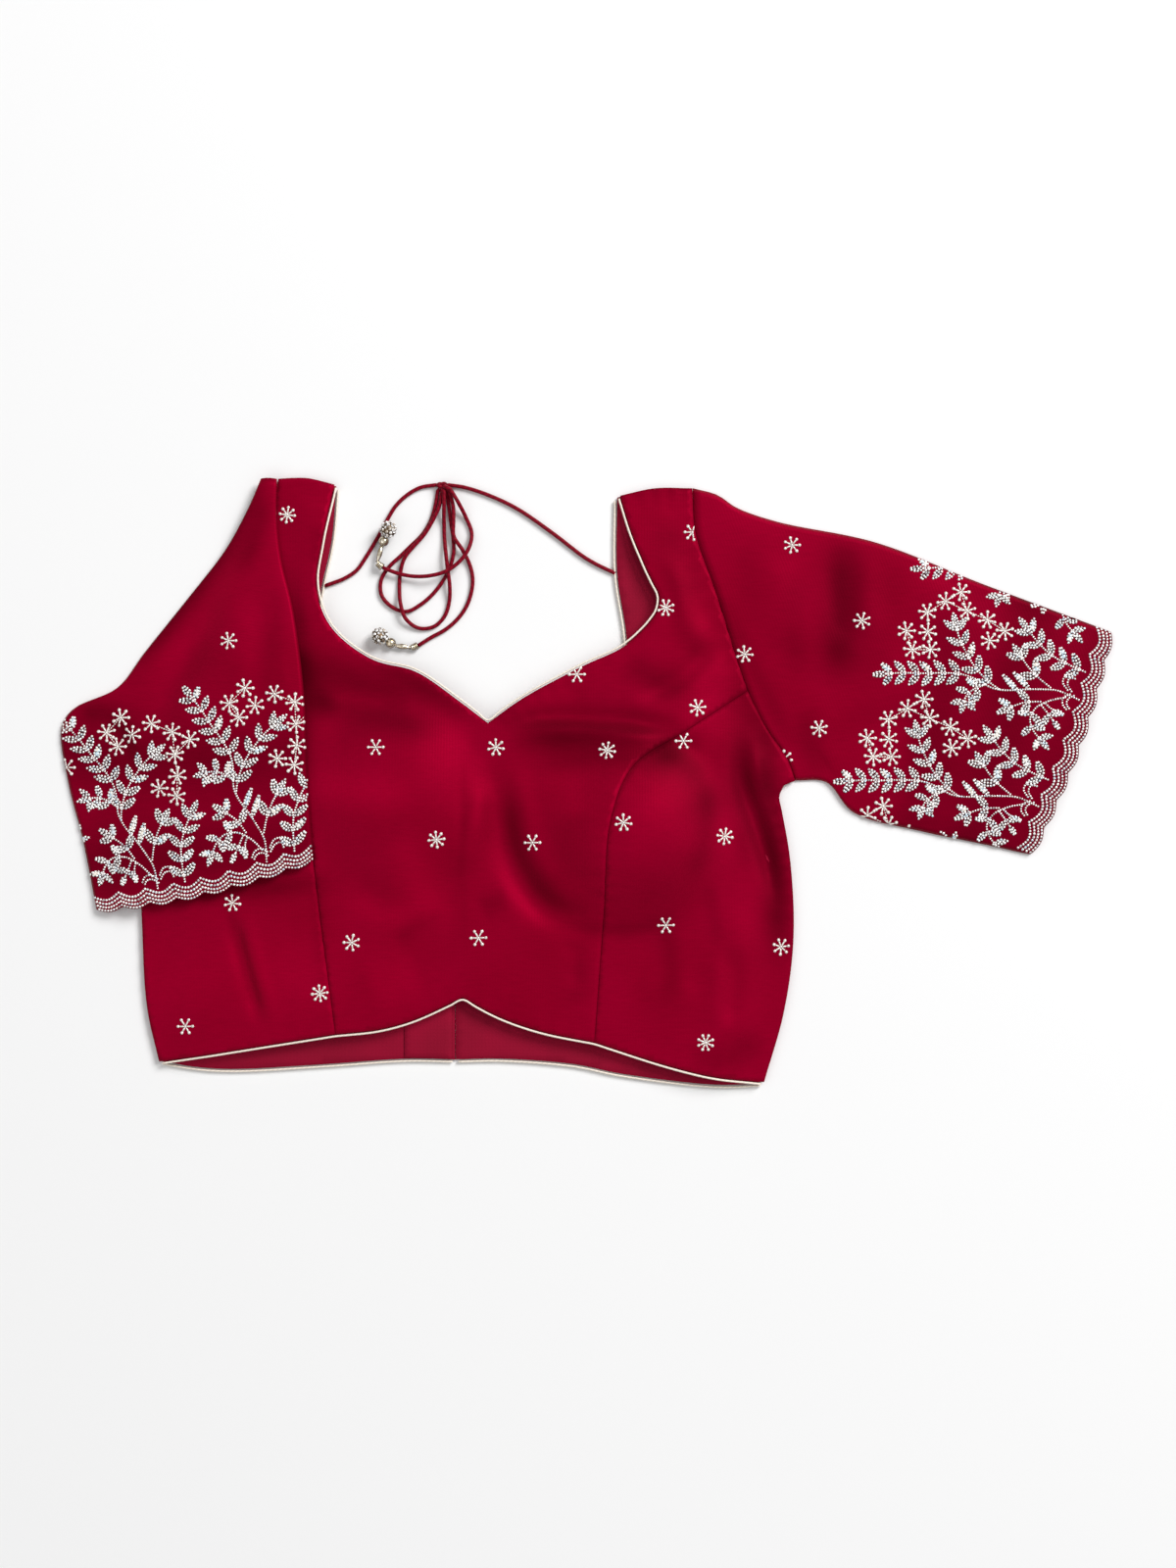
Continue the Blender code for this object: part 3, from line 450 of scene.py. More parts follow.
class Heights:
    """Heights on an even raster, carried past the edge and softened, read anywhere by blending."""
    STEP = 2.0
    MARGIN = 14.0

    def __init__(self, nodes, above=True, soften=4.0, trim=0):
        solids = [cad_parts[name] for name in nodes]
        tree = tree_of(*solids)
        points = np.vstack([in_mm(solid.data) for solid in solids])
        self.low = points[:, :2].min(axis=0) - self.MARGIN
        high = points[:, :2].max(axis=0) + self.MARGIN
        z = np.full(np.ceil((high - self.low) / self.STEP).astype(int) + 1, np.nan)
        start, way = (ABOVE, -UP) if above else (BELOW, UP)
        for i, j in np.ndindex(z.shape):
            x, y = self.low + (i * self.STEP, j * self.STEP)
            place = tree.ray_cast(Vector((x, y, start)), way)[0]
            if place is not None:
                z[i, j] = place.z
        for _ in range(trim):
            z = np.where(np.isnan(self.around(z)).any(axis=0), np.nan, z)
        while np.isnan(z).any():
            near = self.around(z)
            known = ~np.isnan(near)
            count = known.sum(axis=0)
            mean = np.where(known, near, 0.0).sum(axis=0) / np.maximum(count, 1)
            z = np.where(np.isnan(z) & (count > 0), mean, z)
        self.z = self.softened(z, soften / self.STEP)

    @staticmethod
    def around(z):
        """Each cell and its four neighbours."""
        padded = np.pad(z, 1, mode="edge")
        return np.stack([padded[1:-1, 1:-1], padded[:-2, 1:-1], padded[2:, 1:-1],
                         padded[1:-1, :-2], padded[1:-1, 2:]])

    @staticmethod
    def softened(z, spread):
        """The raster blurred evenly, first one way and then the other."""
        reach = int(math.ceil(spread * 3))
        weights = np.exp(-0.5 * (np.arange(-reach, reach + 1) / spread) ** 2)
        weights /= weights.sum()
        for _ in range(2):
            padded = np.pad(z, ((reach, reach), (0, 0)), mode="edge")
            z = sum(w * padded[k:k + z.shape[0]] for k, w in enumerate(weights)).T
        return z

    def at(self, x, y):
        """Heights at x, y."""
        z = self.z
        u, v = (np.clip((np.asarray(place, float) - low) / self.STEP, 0, size - 1.001)
                for place, low, size in zip((x, y), self.low, z.shape))
        i, j = u.astype(int), v.astype(int)
        u, v = u - i, v - j
        return ((z[i, j] * (1 - u) + z[i + 1, j] * u) * (1 - v)
                + (z[i, j + 1] * (1 - u) + z[i + 1, j + 1] * u) * v)


def creased(x, y, creases):
    """Lift from a table of creases, each one a soft ridge or trough that fades at its ends."""
    fading, beside = 0.3, 1.6
    lift = np.zeros(len(x))
    for points, height, width, lean in creases:
        line = smooth(points, 4.0)
        away, along, side = nearest_on(line, x, y)
        length = run_along(line)[-1]
        fade = ease(np.minimum(along, length - along) / (fading * length))
        lift += height * fade * np.exp(-(away / width) ** 2)
        if lean:
            off = away * side * np.sign(lean) - beside * width
            lift -= height * abs(lean) * fade * np.exp(-(off / width) ** 2)
    return lift


def paint_fold_shade(thing, strokes):
    """Paints shade and light: how much darker or brighter the silk is at each point, for its finish
    """
    darkest_shade, brightest_light = -0.7, 0.35
    points = in_mm(thing.data)
    tone = creased(points[:, 0], points[:, 1], [(*stroke, 0) for stroke in strokes])
    layer = thing.data.attributes.new("fold_tone", "FLOAT", "POINT")
    layer.data.foreach_set("value", np.clip(tone, darkest_shade, brightest_light))


def undulation(x, y, size, seed):
    """A slow, uneven waviness of about 1 mm before it is scaled, from a few crossing waves."""
    waves = 6
    picks = np.random.default_rng(seed)
    lift = np.zeros(len(x))
    for _ in range(waves):
        angle = picks.uniform(0, math.pi)
        length = size * picks.uniform(0.7, 1.6)
        phase = picks.uniform(0, 2 * math.pi)
        lift += np.sin(2 * math.pi * (x * math.cos(angle) + y * math.sin(angle)) / length + phase)
    return lift / waves


# Meshes

def placed(points):
    """Points of the tables, in metres from the part's origin."""
    points = np.array(points, float)
    points[:, :2] -= ORIGIN
    return points * MM


def add_piece(name, points, faces, finishes, face_finish=None, slot=None, nodes=()):
    """A smooth mesh object from points in mm, riding on the body and standing for its nodes."""
    mesh = bpy.data.meshes.new(name)
    mesh.from_pydata([tuple(p) for p in placed(points)], [], faces)
    for finish in finishes:
        mesh.materials.append(finish)
    if face_finish is not None:
        mesh.polygons.foreach_set("material_index", face_finish)
    mesh.polygons.foreach_set("use_smooth", [True] * len(mesh.polygons))
    mesh.update()
    thing = bpy.data.objects.new(name, mesh)
    bpy.context.scene.collection.objects.link(thing)
    return fitted(thing, slot, nodes)


def fitted(thing, slot, nodes=()):
    """A finished piece rides on the body and stands for its nodes."""
    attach(thing, BODY)
    if nodes:
        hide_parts(*nodes)
    return thing


def rim_of(node):
    """The outline of a solid's upper face, in mm, in order and anticlockwise."""
    work = bmesh.new()
    work.from_mesh(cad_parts[node].data)
    bmesh.ops.remove_doubles(work, verts=work.verts, dist=1e-6)
    work.faces.ensure_lookup_table()
    work.normal_update()
    # A list keeps the faces' own order, so that the outline starts at the same point each run
    top = [face for face in work.faces if face.normal.z > 0.2]
    upper = set(top)
    follow = {}
    for face in top:
        for corner in face.loops:
            others = [f for f in corner.edge.link_faces if f is not face]
            if not others or others[0] not in upper:
                follow.setdefault(corner.vert, []).append(corner.link_loop_next.vert)
    loops = []
    while follow:
        start = next(iter(follow))
        loop = [start]
        while True:
            ways = follow[loop[-1]]
            step = ways.pop()
            if not ways:
                del follow[loop[-1]]
            if step is start or step not in follow:
                break
            loop.append(step)
        loops.append(loop)
    points = np.array([v.co for v in max(loops, key=len)]) / MM
    work.free()
    return points[:, :2] + ORIGIN


def rounded_outline(points, step, corner=36.0):
    """An outline resampled on smooth curves between its corners, sharper than some degrees."""
    ahead = np.roll(points, -1, axis=0) - points
    behind = points - np.roll(points, 1, axis=0)
    turn = np.degrees(np.arctan2(ahead[:, 1], ahead[:, 0]) - np.arctan2(behind[:, 1], behind[:, 0]))
    turn = np.abs((turn + 180) % 360 - 180)
    sharp = np.flatnonzero(turn > corner)
    if len(sharp) == 0:
        sharp = np.array([0])
    points = np.roll(points, -sharp[0], axis=0)
    marks = list(sharp - sharp[0]) + [len(points)]
    points = closed(points)
    parts = [smooth(points[a:b + 1], step)[:-1] for a, b in zip(marks[:-1], marks[1:]) if b > a]
    return np.vstack(parts)


def cloth_shell(node, outline, lower, thickness, step, finish, over, slot, rests_on, rim=0.14):
    """A solid's laid sheet of cloth: a thin closed shell inside an outline, with a soft rim.

    lower(x, y) is the height of its under face and over(x, y, away, along) lifts its upper one.
    """
    inner = inset_outline(outline, rim)
    low = outline.min(axis=0)
    high = outline.max(axis=0)
    # Rows of points in staggered triangles
    rows = np.arange(low[1] + step / 2, high[1], step * 0.866)
    across = np.arange(low[0], high[0], step)
    gx = np.concatenate([across + (step / 2 if k % 2 else 0) for k in range(len(rows))])
    gy = np.repeat(rows, len(across))
    keep = is_inside(inner, gx, gy)
    gx, gy = gx[keep], gy[keep]
    keep = nearest_on(closed(inner), gx, gy)[0] > step * 0.55
    count = len(inner)
    plan = [tuple(p) for p in inner] + list(zip(gx[keep], gy[keep]))
    found = delaunay_2d_cdt(plan, [], [list(range(count))], 1, 1e-6)
    flat = np.array([tuple(p) for p in found[0]])
    order = {old: new for new, olds in enumerate(found[3]) for old in olds}
    x, y = flat[:, 0], flat[:, 1]
    away, along, _ = nearest_on(closed(outline), x, y)
    under = lower(x, y)
    upper = under + thickness + over(x, y, away, along)
    total = len(flat)
    middle = lower(outline[:, 0], outline[:, 1]) + thickness / 2
    points = np.vstack([np.column_stack([x, y, under]), np.column_stack([x, y, upper]),
                        np.column_stack([outline, middle])])
    triangles = [list(face) for face in found[2]]
    faces = [face[::-1] for face in triangles] + [[i + total for i in face] for face in triangles]
    for i in range(count):
        j = (i + 1) % count
        a, b = order[i], order[j]
        c, d = 2 * total + i, 2 * total + j
        faces += [[a, b, d, c], [c, d, b + total, a + total]]
    name = "placket_cloth" if node == "back_placket" else f"{node}_cloth"
    thing = add_piece(name, points, faces, [finish], slot=slot, nodes=[node])
    declare_sheet(thing, rests_on)
    return thing


def declare_sheet(thing, rests_on, length=None):
    """Works out a laid sheet's cut, its area from its two faces and its box, or the box of a cut
    of that length whose sides slant, but keeps none of it.
    """
    slant, grow = 1.25, 1.02
    area = sum(face.area for face in thing.data.polygons) / 2
    if length:
        width = area / length * slant
    else:
        size = in_mm(thing.data)
        width, length = (size.max(axis=0) - size.min(axis=0))[:2] * MM
    while width * length < area:
        width *= grow
        length *= grow
    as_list(rests_on)


def add_tube(name, path, half, finish, slot, node, sides=12):
    """A closed cord along a path, with a UV map along and round it in mm."""
    steps = np.gradient(path, axis=0)
    steps /= np.linalg.norm(steps, axis=1)[:, None]
    side = np.cross(steps, (0.0, 0.0, 1.0))
    side /= np.linalg.norm(side, axis=1)[:, None]
    up = np.cross(side, steps)
    turn = 2 * math.pi * np.arange(sides) / sides
    spokes = (side[:, None] * np.cos(turn)[None, :, None] * half[0]
              + up[:, None] * np.sin(turn)[None, :, None] * half[1])
    rings = (path[:, None] + spokes).reshape(-1, 3)
    past = half[1] * 0.4
    ends = np.array([path[0] - steps[0] * past, path[-1] + steps[-1] * past])
    faces = [[a + k, a + k + sides, a + (k + 1) % sides + sides, a + (k + 1) % sides]
             for a in range(0, len(rings) - sides, sides) for k in range(sides)]
    last = len(rings) - sides
    for k in range(sides):
        n = (k + 1) % sides
        faces += [[len(rings), k, n], [len(rings) + 1, last + n, last + k]]
    run = run_along(path)
    thing = add_piece(name, np.vstack([rings, ends]), faces, [finish], slot=slot, nodes=[node])
    layer = thing.data.uv_layers.new(name="pattern")
    round_mm = math.pi * (half[0] + half[1])
    for face in thing.data.polygons:
        for corner, vertex in zip(face.loop_indices, face.vertices):
            if vertex >= len(rings):
                layer.data[corner].uv = (run[0] if vertex == len(rings) else run[-1], 0.0)
                continue
            i, k = divmod(vertex, sides)
            turned = k / sides
            if k == 0 and any(v % sides == sides - 1 for v in face.vertices if v < len(rings)):
                turned = 1.0
            layer.data[corner].uv = (run[i], turned * round_mm)
    return thing


# Finishes

# Spacing of a wave texture's bands at scale 1
WAVE = 0.314


def linear(code):
    """A colour given as sRGB hex, as linear red, green, blue and 1."""
    parts = [int(code[i:i + 2], 16) / 255 for i in (1, 3, 5)]
    return (*(c / 12.92 if c <= 0.04045 else ((c + 0.055) / 1.055) ** 2.4 for c in parts), 1.0)


def mixed(colour, other, share):
    """A colour part of the way to another."""
    return tuple(a + (b - a) * share for a, b in zip(colour, other))


def add_node(finish, kind, out, values=None, links=None, stops=(), **settings):
    """Adds one node with its settings, socket values, incoming links and ramp stops, and gives
    the output asked for.
    """
    tree = finish.node_tree
    node = tree.nodes.new("ShaderNode" + kind)
    for name, value in settings.items():
        setattr(node, name, value)
    for name, value in (values or {}).items():
        node.inputs[name].default_value = value
    for name, source in (links or {}).items():
        tree.links.new(source, node.inputs[name])
    if stops:
        ramp = node.color_ramp
        while len(ramp.elements) < len(stops):
            ramp.elements.new(0.5)
        for element, (at, colour) in zip(ramp.elements, stops):
            element.position = at
            element.color = linear(colour) if isinstance(colour, str) else colour
    return node.outputs[out]


def new_finish(name, values):
    """An empty material, with values on its shader's own sockets."""
    finish = bpy.data.materials.new(name)
    finish.use_nodes = True
    for socket, value in values.items():
        finish.node_tree.nodes["Principled BSDF"].inputs[socket].default_value = value
    return finish


def to_shader(finish, links):
    """The finish, once outputs are linked to its shader's sockets."""
    for socket, source in links.items():
        finish.node_tree.links.new(source, finish.node_tree.nodes["Principled BSDF"].inputs[socket])
    return finish


def once(name, maker, **settings):
    """The finish of that name, made only the first time."""
    return bpy.data.materials.get(name) or maker(name, **settings)


def silk_satin(name, base, turn=0.0):
    """Dyed silk satin, woven: broad soft highlights, faint weft slubs, and shade and light painted
    in its folds.
    """
    finish = new_finish(name, {
        "Metallic": 0.22, "Roughness": 0.5, "Specular IOR Level": 0.25,
        "Specular Tint": linear("#c0002c"), "Sheen Weight": 0.1, "Sheen Roughness": 0.35,
        "Sheen Tint": linear("#c8003c")})
    where = add_node(finish, "TexCoord", "Object")
    # Slubs 9 mm long and 1.1 mm wide, twice as thick as real ones so that they show
    along = add_node(finish, "Mapping", "Vector",
                     {"Rotation": (0, 0, turn), "Scale": (110, 900, 900)}, {"Vector": where})
    slub = add_node(finish, "TexNoise", "Fac", {"Scale": 1.0, "Detail": 3.0, "Roughness": 0.6},
                    {"Vector": along})
    # Dye that took a little unevenly, in clouds 70 mm across
    cloud = add_node(finish, "TexNoise", "Fac", {"Scale": 14.0, "Detail": 2.0}, {"Vector": where})
    # Warp threads drawn 1.8 mm apart, since real ones of 0.1 mm are too fine to show
    warp = add_node(finish, "Mapping", "Vector", {"Rotation": (0, 0, turn)}, {"Vector": where})
    threads = add_node(finish, "TexWave", "Fac", {"Scale": 177.0, "Distortion": 1.2, "Detail": 2.0},
                       {"Vector": warp})
    deep = (base[0] * 0.72, base[1], base[2] * 0.6, 1.0)
    light = mixed(base, linear("#b80038"), 0.22)
    dye = add_node(finish, "ValToRGB", "Color", links={"Fac": cloud},
                   stops=[(0.3, mixed(base, deep, 0.35)), (0.7, mixed(base, light, 0.4))])
    streak = add_node(finish, "ValToRGB", "Color", links={"Fac": slub},
                      stops=[(0.3, (0.93, 0.93, 0.93, 1)), (0.7, (1.04, 1.04, 1.04, 1))])
    colour = add_node(finish, "Mix", 2, {0: 1.0}, {6: dye, 7: streak}, data_type="RGBA",
                      blend_type="MULTIPLY")
    # Painted shade and light: the pieces carry how much darker or brighter the satin is in its
    # folds
    folds = add_node(finish, "Attribute", "Fac", attribute_name="fold_tone")
    depth = add_node(finish, "Math", "Value", {1: 1.0}, {0: folds})
    shaded = add_node(finish, "HueSaturation", "Color", links={"Value": depth, "Color": colour})
    fine = add_node(finish, "Bump", "Normal", {"Strength": 0.18, "Distance": 0.00012},
                    {"Height": threads})
    bump = add_node(finish, "Bump", "Normal", {"Strength": 0.22, "Distance": 0.00012},
                    {"Height": slub, "Normal": fine})
    return to_shader(finish, {"Base Color": shaded, "Normal": bump})


def lining_cotton(name, base):
    """Dyed cotton lining, plain woven: matte, with a fine even grain and no highlight."""
    finish = new_finish(name, {"Roughness": 0.78, "Specular IOR Level": 0.12,
                               "Sheen Weight": 0.08, "Sheen Tint": linear("#d01038")})
    where = add_node(finish, "TexCoord", "Object")
    cloud = add_node(finish, "TexNoise", "Fac", {"Scale": 22.0, "Detail": 3.0}, {"Vector": where})
    # Threads 2.2 mm apart each way, drawn coarser than the real 0.4 mm so that they show
    weft, warp = (add_node(finish, "TexWave", "Fac", {"Scale": 145.0, "Distortion": 0.8},
                           {"Vector": where}, bands_direction=way) for way in "XY")
    weave = add_node(finish, "Math", "Value", links={0: weft, 1: warp}, operation="MULTIPLY")
    dye = add_node(finish, "ValToRGB", "Color", links={"Fac": cloud},
                   stops=[(0.3, mixed(base, (0, 0, 0, 1), 0.14)),
                          (0.7, mixed(base, linear("#b80038"), 0.12))])
    bump = add_node(finish, "Bump", "Normal", {"Strength": 0.4, "Distance": 0.00015},
                    {"Height": weave})
    return to_shader(finish, {"Base Color": dye, "Normal": bump})


def wrapped_satin(name, base, dark, lay_mm):
    """Bias satin wrapped round a cord: slanting thread lays with painted shade between, a soft line
    of light.
    """
    finish = new_finish(name, {"Roughness": 0.42, "Specular IOR Level": 0.25,
                               "Specular Tint": mixed(base, (1, 1, 1, 1), 0.25)})
    where = add_node(finish, "TexCoord", "UV")
    slant = add_node(finish, "Mapping", "Vector", {"Rotation": (0, 0, math.radians(38))},
                     {"Vector": where})
    lay = add_node(finish, "TexWave", "Fac",
                   {"Scale": WAVE / lay_mm, "Distortion": 0.6, "Detail": 1.0}, {"Vector": slant})
    grain = add_node(finish, "TexNoise", "Fac", {"Scale": 0.9, "Detail": 3.0}, {"Vector": where})
    # Painted shade: the colour darkens in the grooves between the lays
    shade = add_node(finish, "ValToRGB", "Color", links={"Fac": lay},
                     stops=[(0.1, mixed(base, dark, 0.45)), (0.7, base)])
    fine = add_node(finish, "Bump", "Normal", {"Strength": 0.3, "Distance": 0.0001},
                    {"Height": grain})
    bump = add_node(finish, "Bump", "Normal", {"Strength": 0.35, "Distance": 0.00015},
                    {"Height": lay, "Normal": fine})
    return to_shader(finish, {"Base Color": shade, "Normal": bump})


def plated_brass(name):
    """Pale gold plated brass, cast and polished: sharp warm reflections, rubbed in patches, painted
    shade on its sides.
    """
    finish = new_finish(name, {"Metallic": 1.0})
    where = add_node(finish, "TexCoord", "Object")
    # Rubbed patches about 2 mm across
    rub = add_node(finish, "TexNoise", "Fac", {"Scale": 500.0, "Detail": 2.0}, {"Vector": where})
    polished = add_node(finish, "ValToRGB", "Color", links={"Fac": rub},
                        stops=[(0.35, "#c9b48a"), (0.65, "#fff6e4")])
    # Painted shade: brown low on the sides, set by which way each face points, for a polished
    # ball's shaded rim
    upward = add_node(finish, "SeparateXYZ", "Z",
                      links={"Vector": add_node(finish, "NewGeometry", "Normal")})
    painted_side_shade = add_node(finish, "ValToRGB", "Color", links={"Fac": upward},
                      stops=[(0.3, "#4c3824"), (0.72, "#ffffff")])
    tone = add_node(finish, "Mix", 2, {0: 1.0}, {6: polished, 7: painted_side_shade}, data_type="RGBA",
                    blend_type="MULTIPLY")
    haze = add_node(finish, "MapRange", "Result", {"To Min": 0.16, "To Max": 0.3}, {"Value": rub})
    return to_shader(finish, {"Base Color": tone, "Roughness": haze})


def dappled(name, kind, pattern, stops, values, channel=None, relief=0.0, **settings):
    """A finish whose colour follows one pattern, and its relief too if it has any."""
    finish = new_finish(name, values)
    where = add_node(finish, "TexCoord", "Object")
    dapple = add_node(finish, kind, "Color" if channel else "Fac", pattern, {"Vector": where},
                      **settings)
    if channel:
        dapple = add_node(finish, "SeparateColor", channel, links={"Color": dapple})
    tone = add_node(finish, "ValToRGB", "Color", links={"Fac": dapple}, stops=stops)
    if relief:
        bump = add_node(finish, "Bump", "Normal", {"Strength": relief, "Distance": 0.0001},
                        {"Height": dapple})
        to_shader(finish, {"Normal": bump})
    return to_shader(finish, {"Base Color": tone})


def dark_setting(name):
    """Pewter cup, cast and coloured near black: a dull metal that shows between the stones."""
    # Cast grain 0.7 mm across
    return dappled(name, "TexNoise", {"Scale": 1400.0, "Detail": 2.0},
                   ((0.3, "#3a2a1c"), (0.7, "#8c7048")), {"Metallic": 0.6, "Roughness": 0.4})


def cut_crystal(name):
    """Foil backed crystal chatons, machine cut: painted flashes that differ from stone to stone."""
    # Cells 1.6 mm across give each stone its own painted flash of light: most white, some warm,
    # some dim brown
    return dappled(name, "TexVoronoi", {"Scale": 620.0},
                   ((0.26, "#5c4838"), (0.46, "#d9c9b4"), (0.64, "#ffffff")),
                   {"Metallic": 0.15, "Roughness": 0.08, "IOR": 1.56, "Coat Weight": 0.6}, "Red")


def glass_beads(name):
    """Silver lined glass seed beads: bright, with pale blue and grey ones among the white."""
    # Cells 1.4 mm across, about one for each bead
    return dappled(name, "TexVoronoi", {"Scale": 714.0},
                   ((0.06, "#a8a2a6"), (0.2, "#fffdf8"), (0.86, "#ffffff"), (0.96, "#cfe6f2")),
                   {"Metallic": 0.15, "Roughness": 0.16, "Specular IOR Level": 0.9,
                    "Coat Weight": 0.7, "Coat Roughness": 0.06}, "Red")


def silver_thread(name):
    """Metal wrapped embroidery thread, silver with a little warmth: a broken, grainy shine."""
    # Wraps of thread 0.5 mm apart, drawn coarser than the real 0.2 mm
    return dappled(name, "TexNoise", {"Scale": 2000.0, "Detail": 1.0},
                   ((0.35, "#cfc6c0"), (0.55, "#fffaf4")),
                   {"Metallic": 0.12, "Roughness": 0.3, "Specular IOR Level": 0.8}, relief=0.4)


def foiled_sequins(name):
    """Foiled sequins, stamped flat: near white, with a pale blue or warm cast that varies."""
    # Cells 4 mm across, about one for each sequin
    return dappled(name, "TexVoronoi", {"Scale": 250.0},
                   ((0.2, "#cfe8f4"), (0.5, "#ffffff"), (0.85, "#fff6e6")),
                   {"Metallic": 0.2, "Roughness": 0.12, "Coat Weight": 1.0}, "Green")


def padding_and_shade(name):
    """Dark crimson cotton padding under a leaf's beads, as painted shade in the gaps: matte, with a
    coarse slant.
    """
    # Stitches 1.7 mm apart, coarser than the real 0.6 mm so that they show
    return dappled(name, "TexWave", {"Scale": 262.0, "Distortion": 1.0},
                   ((0.2, "#2c0008"), (0.8, "#54000f")),
                   {"Roughness": 0.85, "Specular IOR Level": 0.1}, bands_direction="DIAGONAL")


def dyed(name, maker, which, **settings):
    """The cloth finish of that name, in one of the colours that a user sets."""
    colour = tuple(getattr(bpy.context.scene.blouse_colours, which))
    return once(name, maker, base=colour, **settings)


def body_silk():
    return dyed("silk satin, body", silk_satin, "silk")


def lining():
    return dyed("cotton lining", lining_cotton, "lining")


def bead_finishes():
    """Finishes in the order of the marks that Beadwork.add takes."""
    return [once(name, maker) for name, maker in (
        ("silver lined glass beads", glass_beads), ("silver thread", silver_thread),
        ("foiled sequins", foiled_sequins), ("padding stitches", padding_and_shade))]


# Settings that a user would change

class BlouseSizes(bpy.types.PropertyGroup):
    cloth_step: FloatProperty(
        name="Cloth step", description="Distance between the points of the cloth meshes",
        default=0.0028, min=0.0015, max=0.01, subtype="DISTANCE")
    seam_dip: FloatProperty(
        name="Seam dip", description="How far the silk sinks at its seams",
        default=0.00008, min=0.0, max=0.0012, subtype="DISTANCE")
    pucker: FloatProperty(
        name="Pucker", description="Height of the small gathers along the seams",
        default=0.00028, min=0.0, max=0.001, subtype="DISTANCE")
    creases: FloatProperty(
        name="Creases", description="Depth of the creases beside the depths in their table",
        default=1.5, min=0.0, max=2.0)
    lining_wave: FloatProperty(
        name="Lining waves", description="Height of the soft waves in the lining",
        default=0.0003, min=0.0, max=0.0006, subtype="DISTANCE")


class BlouseColours(bpy.types.PropertyGroup):
    silk: FloatVectorProperty(
        name="Silk", description="Colour of the silk satin", subtype="COLOR", size=4,
        min=0, max=1, default=linear("#8e0024"))
    lining: FloatVectorProperty(
        name="Lining", description="Colour of the cotton lining", subtype="COLOR", size=4,
        min=0, max=1, default=linear("#8e062a"))
    piping: FloatVectorProperty(
        name="Piping", description="Colour of the satin piping", subtype="COLOR", size=4,
        min=0, max=1, default=linear("#f6ecde"))
    cord: FloatVectorProperty(
        name="Tie cord", description="Colour of the rolled tie cords", subtype="COLOR", size=4,
        min=0, max=1, default=linear("#850820"))
    floor: FloatVectorProperty(
        name="Floor", description="Colour of the surface that the blouse lies on", subtype="COLOR",
        size=4, min=0, max=1, default=linear("#f4f4f4"))


class BlouseStage(bpy.types.PropertyGroup):
    camera_height: FloatProperty(
        name="Camera height", description="Height of the camera above the blouse",
        default=1.40, min=0.5, max=5.0, subtype="DISTANCE")
    view_height: FloatProperty(
        name="View height", description="Length of the surface that the frame takes in",
        default=0.992, min=0.3, max=3.0, subtype="DISTANCE")
    key_power: FloatProperty(
        name="Key light", description="Power of the large light at the upper right, in watts",
        default=206.0, min=0.0, max=900.0)
    sky: FloatProperty(
        name="Surround", description="Brightness of the even light all round",
        default=0.54, min=0.0, max=3.0)


# Builders

class BLOUSE_OT_stage(bpy.types.Operator):
    """Pale floor, soft studio lights and the camera looking straight down"""
    bl_idname = "blouse.stage"
    bl_label = "Stage"
    # Lamps: place, size and share of the key light's power
    LAMPS = {"key": ((2.6, 2.5, 3.03), 2.0, 1.0), "fill": ((-1.8, -1.2, 2.2), 2.4, 0.05)}
    FLOOR_SIZE = 6.0
    FLOOR_DROP = 0.0002
    SENSOR = 36.0
    CAMERA_PLACE = (0.0004, -0.00017)
    # Height of the blouse that the view's length is measured at
    VIEW_LEVEL = 0.003

    def execute(self, context):
        stage = context.scene.blouse_stage
        floor = made(bpy.ops.mesh.primitive_plane_add, size=self.FLOOR_SIZE,
                     location=(0, 0, -self.FLOOR_DROP))
        finish = new_finish("matte paper sweep", {
            "Base Color": tuple(context.scene.blouse_colours.floor), "Roughness": 0.9,
            "Specular IOR Level": 0.1})
        where = add_node(finish, "TexCoord", "Object")
        # Paper grain 2.5 mm across
        grain = add_node(finish, "TexNoise", "Fac", {"Scale": 400.0, "Detail": 2.0},
                         {"Vector": where})
        bump = add_node(finish, "Bump", "Normal", {"Strength": 0.05, "Distance": 0.0002},
                        {"Height": grain})
        to_shader(finish, {"Normal": bump})
        one_piece("floor", [floor], [finish])

        world = bpy.data.worlds.new("studio")
        world.use_nodes = True
        context.scene.world = world
        context.scene.view_settings.view_transform = "Standard"
        sky = world.node_tree.nodes["Background"]
        # A white ceiling over grey walls, so that metal and folds have something darker to reflect
        way = add_node(world, "TexCoord", "Generated")
        rise = add_node(world, "SeparateXYZ", "Z", links={"Vector": way})
        tone = add_node(world, "ValToRGB", "Color", links={"Fac": rise},
                        stops=[(0.3, (0.24, 0.24, 0.24, 1)), (0.62, "#ffffff")])
        world.node_tree.links.new(tone, sky.inputs["Color"])
        sky.inputs["Strength"].default_value = stage.sky
        for name, (place, size, share) in self.LAMPS.items():
            bpy.ops.object.light_add(type="AREA", location=place)
            lamp = context.object
            lamp.name = name
            lamp.data.size = size
            lamp.data.energy = stage.key_power * share
            lamp.rotation_euler = (-Vector(place)).to_track_quat("-Z", "Y").to_euler()
        camera = bpy.data.cameras.new("camera")
        camera.sensor_fit = "VERTICAL"
        camera.sensor_height = self.SENSOR
        camera.lens = self.SENSOR * (stage.camera_height - self.VIEW_LEVEL) / stage.view_height
        thing = bpy.data.objects.new("camera", camera)
        context.scene.collection.objects.link(thing)
        thing.location = (*self.CAMERA_PLACE, stage.camera_height)
        context.scene.camera = thing
        return {"FINISHED"}


def made(operator, **settings):
    """The object that a primitive operator adds, made with nothing else selected."""
    bpy.ops.object.select_all(action="DESELECT")
    operator(**settings)
    return bpy.context.object


def rounded(operator, **settings):
    """A primitive with smooth shading."""
    thing = made(operator, **settings)
    bpy.ops.object.shade_smooth()
    return thing


